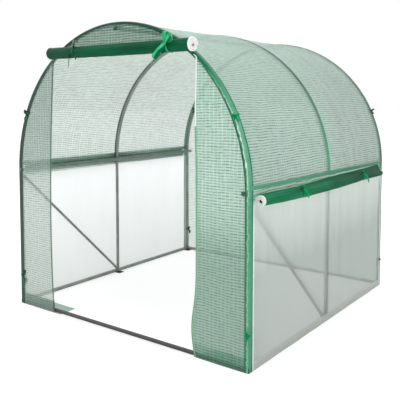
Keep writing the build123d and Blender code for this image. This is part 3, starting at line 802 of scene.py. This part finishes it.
def rear_door_place(s, t):
    x, z = rear_door_flat(s, t)
    swell = door_swell * sin(pi * s) * (0.6 + noise.noise(Vector((x * 2, z * 1.6, 9))))
    return Vector((x, panel_y["rear"] + swell, z))


hang("rear_door_film", rear_door_place, rear_door_flat, 30, 60, rear_film, "mesh_cover", "rear_door_panel",
     held="hung", rests_on=("rear_moon",))


# ---- Edge tapes ----
# A band of solid green tape is sewn over the cover's end edges. It runs from the ground over the
# hoop, round the tube and on to the end panel, with a row of stitches near its border. A narrower one
# keeps the middle hoop from chafing the cover.
tape_bend = 0.0149           # radius of the tape where it goes round the tube
tape_middle = -0.01355       # the tube's centre, measured outwards from the cover
tape_faces = {"front": -0.0300, "rear": -0.0145}
tape_crown = -0.0145         # the same where it crosses the ridge
left_fullness = 2.2          # the front tape was sewn wider on the left half of the hoop
tape_width = 0.063           # on the flat
tape_rise = 0.0012           # over the cover
middle_tape = 0.036
tape_reaches = {"front": 0.023, "rear": 0.040}
tape_ground = 0.003
tape_length = 2 * (shoulder - tape_ground) + pi * roof_radius
tape_turns = [pi / 2 + pi / 2 * k / 6 for k in range(7)]


def sewn_tape(tree, lengthwise, crosswise, highlight_span, stitch_colour, glow_share):
    """Woven polypropylene tape: dense, with a row of stitches, and with painted shade and a painted
    highlight.

    lengthwise are its colours with painted shade and light, from the left foot over the hoop to the right
    foot, and crosswise those of its painted highlight, from the border on the roof to the border on the end
    panel. highlight_span are the shares of the length between which that comes in and half goes out again.
    """
    stitch_mm = 8.0          # real stitches are 4 mm; drawn longer so that they show
    stitch_from_border_mm = 6.0
    weave_mm = 2.4
    cloth = add_node(tree, "UVMap", uv_map="cloth")
    axes = add_node(tree, "SeparateXYZ", {"Vector": cloth})
    weave = add_node(tree, "TexWave", {"Vector": cloth, "Scale": 1000 / weave_mm / 6.3, "Distortion": 1.0},
                     wave_type="BANDS", bands_direction="Y")
    cloud = streaked(tree, cloth, 16.7, 38.5)
    sway = add_node(tree, "MapRange", {"Value": cloud, "To Min": -0.22, "To Max": 0.22})
    place = add_node(tree, "MapRange", {"Value": axes.outputs["X"], "From Max": tape_width})
    level = add_node(tree, "Math", {0: place, 1: sway}, operation="ADD")
    pale = add_node(tree, "ValToRGB", {"Fac": level}, stops=crosswise)
    share = add_node(tree, "MapRange", {"Value": axes.outputs["Y"], "From Max": tape_length})
    painted_light_tint = add_node(tree, "ValToRGB", {"Fac": share}, stops=lengthwise)
    comes = add_node(tree, "MapRange", {"Value": share, "From Min": highlight_span[0], "From Max": highlight_span[1]})
    goes = add_node(tree, "MapRange", {"Value": share, "From Min": highlight_span[3], "From Max": highlight_span[2],
                                       "To Min": 0.5})
    highlight_share = add_node(tree, "Math", {0: comes, 1: goes}, operation="MULTIPLY")
    highlit_tint = add_node(tree, "Mix", {0: highlight_share, 6: painted_light_tint, 7: pale}, data_type="RGBA")
    offset = add_node(tree, "Math", {0: axes.outputs["X"], 1: stitch_from_border_mm / 1000},
                      operation="SUBTRACT")
    nearness = add_node(tree, "Math", {0: offset}, operation="ABSOLUTE")
    row = add_node(tree, "MapRange", {"Value": nearness, "From Min": 0.0034, "From Max": 0.0018})
    beat = add_node(tree, "Math", {0: axes.outputs["Y"], 1: stitch_mm / 2000}, operation="PINGPONG")
    gaps = add_node(tree, "MapRange", {"Value": beat, "From Min": 0.0008, "From Max": 0.0016})
    stitch = add_node(tree, "Math", {0: row, 1: gaps}, operation="MULTIPLY")
    tint = add_node(tree, "Mix", {0: stitch, 6: highlit_tint, 7: linear(stitch_colour)}, data_type="RGBA")
    height = add_node(tree, "Math", {0: weave, 1: stitch}, operation="ADD")
    relief = add_node(tree, "Bump", {"Height": height, "Strength": 0.2, "Distance": 0.0004})
    return see_through(tree, tint, tint, relief, 0.5, glow_share, 0.97, 0.12)


# Painted light: the front tape is darker on its left half and over the top, as shade, with a painted
# highlight down the right arch; the rear tape's left half is painted pale, as light through it; the middle
# tape is darker over the top and lighter low on the right.
edge_tapes = {
    "front": new_material(
        "sewn_front_edge_tape", sewn_tape,
        ((0, "#3a5a4d"), (0.2, "#324b40"), (0.42, "#1a4638"), (0.60, "#105039"), (0.67, "#2b8a64"),
         (1, "#46a27d")),
        ((0, "#1f7a56"), (0.12, "#2f9069"), (0.36, "#62b08d"), (0.60, "#83c7a7"), (0.66, "#a4d8bf"),
         (0.69, "#fbfffd"), (0.72, "#cfeadd"), (0.76, "#4f9a79"), (0.88, "#2a7355"), (1, "#123c2c")),
        (0.655, 0.73, 0.775, 0.82), "#145238", 0.12),
    "rear": new_material(
        "sewn_rear_edge_tape", sewn_tape,
        ((0, "#c8e0d4"), (0.46, "#c8e0d4"), (0.53, "#4a5f56"), (0.6, "#1c3d30"), (0.8, "#1a3c2e"),
         (0.82, "#8f9c95")),
        ((0, "#4b8f70"), (1, "#b6dcc9")), (0.1, 0.2, 0.3, 0.4), "#2f6d50", 0.3)}
narrow_tape = new_material(
    "sewn_middle_tape", sewn_tape,
    ((0, "#5f8f7a"), (0.5, "#4a5f57"), (0.62, "#25503f"), (0.72, "#1f6b4c"), (1, "#1f9467")),
    ((0, "#5cc398"), (1, "#1f6d4e")), (0.66, 0.8, 0.85, 0.95), "#14523a", 0.15)
for where, outward in (("front", -1), ("rear", 1)):
    reach = tape_reaches[where]
    section = [(reach, tape_rise), (reach / 2, tape_rise), (0.004, tape_rise)]
    section += [(tape_bend * cos(a), tape_middle + tape_bend * sin(a)) for a in tape_turns]
    section.append((-tape_bend, tape_faces[where]))
    widths = [0.0]
    for near, far in zip(section, section[1:]):
        widths.append(widths[-1] + sqrt((far[0] - near[0]) ** 2 + (far[1] - near[1]) ** 2))
    last = len(section) - 1

    def tape_flat(s, t):
        """Point of an edge tape on the flat, from its border on the roof and from the left foot."""
        return widths[round(s * last)], tape_length * t

    def tape_place(s, t):
        inward, rise = section[round(s * last)]
        if s == 1:
            fullness = left_fullness if t < 0.5 and where == "front" else 1.0
            rise = tape_crown + (rise - tape_crown) * min(abs(4 * t - 2), 1) * fullness
        place, normal = around(tape_length * t, shoulder - tape_ground, roof_radius)
        pucker = 0.0016 * noise.noise(Vector((tape_length * t * 9, outward, 0))) if s == 0 else 0
        return place + normal * (rise + 0.0003) + y_axis * (hoop_y[where] - outward * (inward + pucker))

    hang(f"{where}_edge_tape", tape_place, tape_flat, last, 220, edge_tapes[where], "edge_tape",
         f"{where}_binding", rests_on=(f"{where}_left_arch_tube",))


def band_flat(s, t):
    """Point of the narrow tape on the flat. Its place along is counted as on the edge tapes."""
    return middle_tape * s, (tape_length - roof_span) / 2 + roof_span * t


def band_place(s, t):
    """Point of the narrow tape sewn over the middle hoop, where the cover bears on it."""
    place, normal = around(roof_span * t, roof_drop, roof_radius)
    return place + normal * 0.0010 + y_axis * (middle_y + middle_tape * (s - 0.5))


hang("middle_tape", band_place, band_flat, 2, 130, narrow_tape, "edge_tape", rests_on=("roof_cover_film",))


# ---- Hems and zips of the doors ----
# The free edges of the front strips are turned over into a hem. The right one carries half of the
# door's zip, white in its upper part and green below. The rear door is zipped shut.
hem_width = 0.014
mint_width = 0.011
left_hem_width = 0.010
hem_foot = 0.004
strip_top = door_head - 0.03
zip_change = 1.36            # where the right zip turns from green to white
mint_zip = new_material("mint_polyester_zip", zip_tape, "#e4f5ec", "#b4dcc7", mint_width)
green_zip = new_material("green_polyester_zip", zip_tape, "#7fb597", "#2f6f52", hem_width)
hem_film = new_material("doubled_film_of_hems", reinforced_film,
                        ("#35604d", "#3d6252", "#587a69", "#1d4a38", "#4a6e5e", "#35604d"), 0.95, 0.2)
hem_y = panel_y["front"] - panel_swell - lift


def upright_strip(name, edge, y, bottom, top, width, material, slot):
    """Narrow strip that stands along an edge of a panel, from edge(z) over its width."""
    def strip_point(s, t):
        z = bottom + (top - bottom) * t
        return Vector((edge(z) + width * s, y, z))

    hang(name, strip_point, (abs(width), top - bottom), 2, 60, material, slot)


upright_strip("front_right_hem", right_jamb, hem_y, hem_foot, zip_change, hem_width, green_zip, "zip_tape")
upright_strip("front_right_zip", right_jamb, hem_y, zip_change, strip_top, mint_width, mint_zip, "zip_tape")
upright_strip("front_left_hem", left_jamb, hem_y, hem_foot, strip_top, -left_hem_width, hem_film,
              "mesh_cover")
for side, sign in sides.items():
    upright_strip(f"rear_{side}_zip", lambda z: jambs["rear", side](z) + sign * zip_width / 2,
                  panel_y["rear"] + panel_swell + 2 * lift, hem_foot, strip_top, -sign * zip_width,
                  white_zip, "zip_tape")


# ---- Ground skirts ----
# The foot of each front strip turns inwards under the base tube and lies on the ground, where soil
# or stones would weigh it down. A second layer behind the strip's foot strengthens the turn.
foot_height = 0.086
foot_start = 0.002
skirt_film = new_material("reinforced_film_on_ground", reinforced_film,
                          ("#9dbdac", "#b0c2b8", "#bcd2c6", "#4f8069", "#b6cabf", "#9dbdac"), 0.88, 0.3)
# Painted shade: the left foot's copy of the doubled film is dark; the right one's is a paler, lit copy, and
# nearly clear.
foot_films = {
    "left": new_material("doubled_film_of_left_foot", reinforced_film,
                         ("#3f7d62", "#48806a", "#5c9479", "#1f5a42", "#4f8a6e", "#3f7d62"), 0.80, 0.3),
    "right": new_material("doubled_film_of_right_foot", reinforced_film,
                          ("#84c4a4", "#8cc4a8", "#a0d4ba", "#4f9474", "#c6ecd9", "#84c4a4"), 0.24, 0.6)}
for side, sign in sides.items():
    low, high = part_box(f"front_skirt_{side}")
    edge = jambs["front", side]

    def skirt_place(s, t):
        """Point of a ground skirt."""
        x = low.x + (high.x - low.x) * s
        y = low.y + (high.y - low.y) * t
        return Vector((x, y, 0.0012 + 0.003 * (0.5 + noise.noise(Vector((x * 9, y * 9, 2)))) * t))

    def foot_place(s, t):
        """Point of the second layer behind a strip's foot."""
        z = foot_start + (foot_height - foot_start) * t
        return Vector((edge(z) + (sign * panel_radius - edge(z)) * s, panel_y["front"] + lift, z))

    hang(f"{side}_ground_skirt", skirt_place, (high.x - low.x, high.y - low.y), 16, 8, skirt_film,
         "ground_skirt", f"front_skirt_{side}", held="laid")
    hang(f"{side}_foot_layer", foot_place, (panel_radius - jamb, foot_height), 16, 3, foot_films[side],
         "mesh_cover", rests_on=(f"front_{side}_strip",))


# ---- Rolled covers ----
# The door and the two side covers are rolled up outside the tunnel: several layers of the green film
# wound on themselves. Their white zip tapes, wound with them, show as thicker white ends. A doubled
# lead of flat cloth joins each roll to its seam.
white_end = 0.012
cloth_layers = 5.5
tape_layers = 3.5
turn_steps = 20
layer_gap = 0.25             # of the distance between two layers
lead_width = {"door": 0.040, "side": 0.038}


def packed_film(tree, colour, worn_colour, shade_colour, dark_thread, painted_shade_between):
    """The green film in many layers: deep green and nearly opaque, with its threads still showing.

    It is drawn darker, as painted shade, between the two distances along the roll.
    """
    along_mm = 12.0          # real threads stand about 5 mm apart; drawn coarser so that they show
    round_mm = 16.0
    cloth = warped_cloth(tree, (6, 150))
    along = threads(tree, cloth, 1, along_mm, 4.0, 2.0)
    round_it = threads(tree, cloth, 0, round_mm, 3.6, 1.8)
    grid = add_node(tree, "Math", {0: along, 1: round_it}, operation="MAXIMUM")
    dense = streaked(tree, cloth, 333, 33.3)
    clean = add_node(tree, "ValToRGB", {"Fac": dense}, stops=((0.35, colour), (0.68, worn_colour)))
    distance = add_node(tree, "SeparateXYZ", {"Vector": cloth}).outputs["X"]
    painted_shade = add_node(tree, "MapRange", {"Value": distance, "From Min": painted_shade_between[0], "From Max": painted_shade_between[1],
                                       "To Max": 0.8})
    tint = add_node(tree, "Mix", {0: painted_shade, 6: clean, 7: linear(shade_colour)}, data_type="RGBA")
    faint = add_node(tree, "Math", {0: grid, 1: 0.35}, operation="MULTIPLY")
    thread = add_node(tree, "Mix", {0: faint, 6: tint, 7: linear(dark_thread)}, data_type="RGBA")
    height = add_node(tree, "Math", {0: grid, 1: dense}, operation="ADD")
    relief = add_node(tree, "Bump", {"Height": height, "Strength": 0.5, "Distance": 0.0012})
    return add_node(tree, "BsdfPrincipled", {"Base Color": thread, "Roughness": 0.6,
                                             "Specular IOR Level": 0.04, "Normal": relief})


def wound(name, axis_point, radius_at, core, layers, start, end, stations, material, slot, *stands_for):
    """Cloth wound round an axis, as one sheet in a spiral. axis_point and radius_at give the roll's middle
    and its radius at a distance along it, and core is the radius of the hole."""
    mesh = bmesh.new()
    grain = mesh.loops.layers.uv.new("cloth")
    axis = (axis_point(end) - axis_point(start)).normalized()
    outward = upright.cross(axis)
    turns = [k / turn_steps for k in range(int(layers * turn_steps) + 1)]
    count = len(turns)
    rows = []
    for k in range(stations + 1):
        along = start + (end - start) * k / stations
        radius = radius_at(along)
        pitch = (radius - core) / (layers + 0.5 - layer_gap)
        outer = [(2 * pi * turn, radius + pitch * (0.5 - turn)) for turn in turns]
        outline = outer + [(angle, reach - (1 - layer_gap) * pitch) for angle, reach in reversed(outer)]
        row = []
        for angle, reach in outline:
            ripple = noise.noise(Vector((along * 9, cos(angle) * 2.5, sin(angle) * 2.5)))
            reach += 0.0012 * ripple * reach / radius
            away = outward * cos(angle) + upright * sin(angle)
            row.append(mesh.verts.new(axis_point(along) + away * reach))
        rows.append(row)
    for k in range(stations):
        for i in range(2 * count):
            j = (i + 1) % (2 * count)
            face = mesh.faces.new((rows[k][i], rows[k][j], rows[k + 1][j], rows[k + 1][i]))
            around_it = [2 * pi * radius / turn_steps * step for step in (i, i + 1, i + 1, i)]
            along_it = [(end - start) * station / stations for station in (k, k, k + 1, k + 1)]
            for loop, spot in zip(face.loops, zip(along_it, around_it)):
                loop[grain].uv = spot
    for row in (rows[0], rows[-1]):
        for i in range(count - 1):
            mesh.faces.new((row[i], row[i + 1], row[-2 - i], row[-1 - i]))
    place_piece(name, mesh, material, slot, *stands_for, sharp=40)


def pinch(distance, ties, depth):
    """How much a roll is squeezed near its ribbons."""
    return sum(depth * exp(-((distance - tie) / 0.030) ** 2) for tie in ties)


def between(distance, stops):
    """Value at a distance, on straight lines between stops of (distance, value)."""
    for (near, low), (far, high) in zip(stops, stops[1:]):
        if distance <= far:
            share = min(max((distance - near) / (far - near), 0), 1)
            return low + (high - low) * share
    return stops[-1][1]


door_low, door_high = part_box("door_roll")
door_radius = 0.038
door_core = 0.006
door_ties = (-0.314, 0.478)
white_cloth = new_material("white_zip_tape_wound", zip_tape, "#f7f9f7", "#dfe6e1", 0.03)
# Painted shade: the door roll darkens towards its left end, the side rolls and their seams towards the rear.
door_roll_film = new_material("door_rolled_film", packed_film,
                              "#0a4a30", "#0f6241", "#2b4a3c", "#06301e", (0.40, 0.05))
seam_film = new_material("sewn_seam_of_film", packed_film,
                         "#5a9f80", "#74b597", "#4f8a70", "#3a7a5c", (0.7, 1.3))
side_roll_film = new_material("side_rolled_film", packed_film,
                              "#0d6843", "#168c5e", "#0b3a27", "#0a4a31", (0.35, 1.3))
# Painted light: the flaps' doubled film is pale, for the light on the cloth between the seam and the roll.
painted_light_flap_film = new_material("doubled_film_painted_light", reinforced_film,
                         ("#c4e6d5", "#bcdccc", "#e8f8f0", "#2f7558", "#cfeadd", "#c4e6d5"), 0.96, 0.3)


def door_axis(x):
    """The door's roll sags a little between its ribbons."""
    share = (x - door_low.x) / (door_high.x - door_low.x)
    return Vector((x, door_low.y + door_radius, door_low.z + door_radius - 0.003 * sin(pi * share)))


def door_radius_at(x):
    return door_radius + 0.0012 * noise.noise(Vector((x * 4, 0, 3))) - pinch(x, door_ties, 0.003)


wound("rolled_door", door_axis, door_radius_at, door_core, cloth_layers, door_low.x, door_high.x, 64,
      door_roll_film, "rolled_cover", "door_roll")
wound("rolled_door_left_end", door_axis, lambda x: door_radius + 0.003, door_core, tape_layers,
      door_low.x - white_end, door_low.x, 2, white_cloth, "zip_tape", "roll_edging")
wound("rolled_door_right_end", door_axis, lambda x: door_radius + 0.003, door_core, tape_layers, door_high.x,
      door_high.x + white_end, 2, white_cloth, "zip_tape")


def door_lead_place(s, t):
    """The doubled cloth between the door's roll and its seam over the doorway."""
    x = door_low.x + (door_high.x - door_low.x) * s
    top = Vector((x, panel_y["front"] - panel_swell - lift, door_high.z - 0.002))
    foot = door_axis(x) + upright * (door_radius - 0.001)
    return top.lerp(foot, t) + y_axis * 0.006 * sin(pi * t)


hang("door_lead", door_lead_place, (door_high.x - door_low.x, lead_width["door"]), 60, 4, door_roll_film,
     "rolled_cover", held="hung", rests_on=("rolled_door",))

side_core = 0.0080
seam_width = 0.024
side_radius = 0.029
wall_gap = 0.002
side_roll_heights = {"left": ((-0.90, 0.009), (1.00, -0.010)),
                     "right": ((-0.90, 0.013), (-0.40, 0.003), (0.10, 0.000), (0.55, 0.001), (0.95, -0.013))}
side_roll_radii = {"left": ((-0.90, 0.029), (1.00, 0.027)),
                   "right": ((-0.90, 0.0305), (-0.40, 0.0345), (0.10, 0.0335), (0.55, 0.0300),
                             (0.95, 0.0215))}
side_lines = {"left": ((-0.90, 1.030), (1.00, 1.022)),
              "right": ((-0.92, 0.989), (-0.40, 0.981), (0.06, 0.991), (0.64, 0.993), (0.97, 1.000))}
side_seams = {"left": ((-0.95, 1.044), (1.04, 1.036)),
              "right": ((-0.95, 1.031), (-0.50, 1.024), (0.00, 1.020), (1.04, 1.008))}
side_ties = (front_y + 0.500, rear_y - 0.530)
side_roll_z = {side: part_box(f"side_roll_{side}")[0].z + side_radius for side in sides}


def side_reach(side, y):
    """Radius of a side roll: fuller towards the front, where it was rolled less tightly."""
    ripple = 0.0015 * noise.noise(Vector((y * 4, 0, 5)))
    return between(y, side_roll_radii[side]) + ripple - pinch(y, side_ties, 0.0025)


def side_axis(side, y):
    """Middle of a side roll, which lies against the wall."""
    x = roof_radius + wall_gap + between(y, side_roll_radii[side])
    return Vector((sides[side] * x, y, side_roll_z[side] + between(y, side_roll_heights[side])))


for side, sign in sides.items():
    low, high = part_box(f"side_roll_{side}")
    wound(f"rolled_{side}_side", lambda y: side_axis(side, y), lambda y: side_reach(side, y), side_core,
          cloth_layers, low.y, high.y, 80, side_roll_film, "rolled_cover", f"side_roll_{side}")
    for where, start in (("front", low.y - white_end), ("rear", high.y)):
        wound(f"rolled_{side}_side_{where}_end", lambda y: side_axis(side, y),
              lambda y: side_reach(side, y) + 0.0008, side_core, tape_layers, start, start + white_end, 2,
              white_cloth, "zip_tape")

    def lead_place(s, t):
        """The doubled cloth between a side roll and its seam on the wall."""
        y = low.y + (high.y - low.y) * s
        top = Vector((sign * (roof_radius + 2 * lift), y, between(y, side_lines[side])))
        return top.lerp(side_axis(side, y) + upright * (side_reach(side, y) - 0.0005), t)

    def seam_place(s, t):
        """The seam of the side cover, sewn flat on the roof cover."""
        y = cloth_front + cloth_length * s
        z = between(y, side_seams[side]) + seam_width * (t - 0.5)
        return Vector((sign * (roof_radius + 2 * lift), y, z))

    def flap_flat(s, t):
        """Point of the doubled cloth that hangs from the seam to the lead, on the flat."""
        y = cloth_front + cloth_length * s
        foot = between(y, side_lines[side])
        return y, foot + (between(y, side_seams[side]) - foot) * t

    def flap_place(s, t):
        return Vector((sign * (roof_radius + 1.4 * lift), *flap_flat(s, t)))

    hang(f"{side}_side_flap", flap_place, flap_flat, 60, 2, painted_light_flap_film, "mesh_cover",
         rests_on=("roof_cover_film",))
    hang(f"{side}_side_lead", lead_place, (high.y - low.y, lead_width["side"]), 60, 4, side_roll_film,
         "rolled_cover", held="hung", rests_on=(f"rolled_{side}_side",))
    hang(f"{side}_side_seam", seam_place, (cloth_length, seam_width), 60, 1, seam_film, "mesh_cover",
         rests_on=("roof_cover_film",))


# ---- Ribbons ----
# Green polyester satin ribbon. Two lengths hold each roll up, and short ones tie the end panels to
# the hoops, high on the arch and low on the posts. Each goes once round and is tied in a bow.
def satin_ribbon(tree, colour, dark_colour):
    """Polyester satin: bright green with a sheen along its length and fine cross ribs."""
    rib_mm = 1.6
    cloud_mm = 33.3
    cloth = add_node(tree, "UVMap", uv_map="cloth")
    ribs = add_node(tree, "TexWave", {"Vector": cloth, "Scale": 1000 / rib_mm / 6.3}, bands_direction="Y")
    cloud = add_node(tree, "TexNoise", {"Vector": cloth, "Scale": 1000 / cloud_mm, "Detail": 2})
    tint = add_node(tree, "ValToRGB", {"Fac": cloud}, stops=((0.35, dark_colour), (0.65, colour)))
    relief = add_node(tree, "Bump", {"Height": ribs, "Strength": 0.25, "Distance": 0.0004})
    return add_node(tree, "BsdfPrincipled", {"Base Color": tint, "Roughness": 0.45, "Normal": relief,
                                             "Specular IOR Level": 0.12})


# Copies of one ribbon: a brighter one painted lit for the door's right bow, and a darker one painted in
# shade for the door's left bow and the hoop ties other than the front right ones.
bright_ribbon = new_material("bright_green_satin_ribbon", satin_ribbon, "#00a066", "#00804c")
painted_lit_ribbon = new_material("satin_ribbon_painted_lit", satin_ribbon, "#06b878", "#008c56")
painted_shade_ribbon = new_material("satin_ribbon_painted_in_shade", satin_ribbon, "#1a6347", "#0f4630")


def ribbon_run(mesh, grain, path, width, across_way):
    """One run of ribbon along a path. across_way(share) is the direction of its width. Gives its length."""
    run = 0.0
    rows = []
    for i, point in enumerate(path):
        if i:
            run += (point - path[i - 1]).length
        way = across_way(i / (len(path) - 1)).normalized() * width / 2
        rows.append((mesh.verts.new(point - way), mesh.verts.new(point + way), run))
    for (a, b, near), (c, d, far) in zip(rows, rows[1:]):
        face = mesh.faces.new((a, b, d, c))
        for loop, spot in zip(face.loops, ((0, near), (width, near), (width, far), (0, far))):
            loop[grain].uv = spot
    return run


def tied_ribbon(name, centre, axis, outward, radius, width, tilt, knot_turn, loops, tails, material,
                *stands_for):
    """Ribbon once round a bundle, with a knot, the loops of its bow, and its ends.

    tilt is how far the ribbon leans along the axis from the bundle's middle. Each loop and tail is
    (direction, reach, fullness).
    """
    mesh = bmesh.new()
    grain = mesh.loops.layers.uv.new("cloth")
    up = axis.cross(outward)
    if up.z < 0 or (abs(up.z) < 0.01 and up.x < 0):
        up = -up

    def spot(angle, extra=0.0):
        away = outward * cos(angle) + up * sin(angle)
        return centre + away * (radius + extra) - axis * tilt * sin(angle)

    rounds = [2 * pi * i / 28 + knot_turn for i in range(29)]
    total = ribbon_run(mesh, grain, [spot(a) for a in rounds], 0.5 * width, lambda share: axis)
    knot = spot(knot_turn, 0.002)
    normal = (outward * cos(knot_turn) + up * sin(knot_turn)).normalized()
    for direction, reach, fullness in loops:
        way = Vector(direction).normalized()
        wide = normal.cross(way)
        petal = [knot + way * reach * sin(pi * k / 12)
                 + normal * (0.004 + fullness * reach * sin(pi * k / 6)) for k in range(13)]
        total += ribbon_run(mesh, grain, petal, width, lambda share: wide)
    for direction, reach, fullness in tails:
        way = Vector(direction).normalized()
        wide = normal.cross(way)
        tail = [knot + way * reach * k / 8 + normal * (0.003 + fullness * reach * sin(3 * k / 8))
                for k in range(9)]
        total += ribbon_run(mesh, grain, tail, width, lambda share: wide + normal * 0.7 * sin(2.5 * share))
    lump = [knot + normal * (0.0005 + 0.0055 * sin(pi * k / 8))
            + axis.cross(normal) * (0.008 * cos(pi * k / 8)) for k in range(9)]
    total += ribbon_run(mesh, grain, lump, 0.8 * width, lambda share: axis)
    piece = place_piece(name, mesh, material, "ribbon", *stands_for, sharp=180)


x_axis = Vector((1, 0, 0))
door_wrap = door_radius + 0.0012
door_tilt = 0.004
tied_ribbon("door_left_ribbon", door_axis(door_ties[0]), x_axis, -y_axis, door_wrap, 0.019, door_tilt,
            radians(60), (((0.9, 0, 0.8), 0.050, 0.2), ((0.2, 0, 1), 0.044, 0.2)),
            (((-0.36, 0, -1), 0.150, 0.1), ((0.3, 0, -1), 0.090, 0.1)), painted_shade_ribbon, "roll_ties")
tied_ribbon("door_right_ribbon", door_axis(door_ties[1]), x_axis, -y_axis, door_wrap, 0.030, door_tilt,
            radians(25), (((0.15, 0, 1), 0.060, 0.3), ((1, 0, 0.75), 0.062, 0.3),
                          ((-0.60, -0.1, -0.80), 0.115, 0.04), ((-0.72, -0.1, -0.70), 0.120, 0.04)),
            (((-0.66, 0, -0.8), 0.165, 0.1),), painted_lit_ribbon)

side_ribbon = 0.021          # width
side_tilt = 0.006
side_wrap = 0.0036           # over the roll, which is fuller beside its ribbons
for side, sign in sides.items():
    for number, y in enumerate(side_ties, 1):
        tied_ribbon(f"{side}_roll_ribbon_{number}", side_axis(side, y), y_axis, x_axis * sign,
                    side_reach(side, y) + side_wrap, side_ribbon, side_tilt, radians(55),
                    (((0, -0.8, 0.6), 0.018, 0.4), ((0, 0.8, 0.7), 0.018, 0.4)),
                    (((0.5 * sign, 0.45, -1), 0.060 + 0.012 * number, 0.16),
                     ((0.4 * sign, 0.20, -1), 0.050, 0.16)), bright_ribbon)

hoop_wrap = tube_radius + 0.0050
tie_width = 0.012
tie_angle = radians(25)
tie_low = 0.210
for where in ("front", "rear"):
    y = hoop_y[where]
    for side, sign in sides.items():
        front_left = (where, side) == ("front", "left")
        full = 1.5 if front_left else 1.0
        shown = bright_ribbon if (where, side) == ("front", "right") else painted_shade_ribbon
        stands_for = ("hoop_ties",) if front_left else ()
        on_arch = Vector((sign * hoop_radius * cos(tie_angle), y, shoulder + hoop_radius * sin(tie_angle)))
        along_arch = Vector((-sign * sin(tie_angle), 0, cos(tie_angle)))
        tied_ribbon(f"{where}_{side}_high_ribbon", on_arch, along_arch, -y_axis, hoop_wrap, tie_width * full,
                    0.0, radians(40 * sign),
                    (((sign, 0, 0.5), 0.030 * full, 0.3), ((-sign, -0.4, 0.3), 0.026 * full, 0.3)),
                    (((sign * 0.8, 0, -1), 0.036 * full, 0.2), ((-0.3, 0, -1), 0.030 * full, 0.2)),
                    shown, *stands_for)
        tied_ribbon(f"{where}_{side}_low_ribbon", Vector((sign * hoop_radius, y, tie_low)), upright, -y_axis,
                    hoop_wrap, tie_width * full, 0.0, radians(20 if sign > 0 else 70),
                    (((sign * 0.9, 0, 0.6), 0.024, 0.3), ((-sign * 0.4, -0.2, 1), 0.032 * full, 0.3)),
                    (((-sign * 0.3, 0, -1), 0.042 * full, 0.2), ((-sign * 0.7, 0, -1), 0.036 * full, 0.2)),
                    shown)
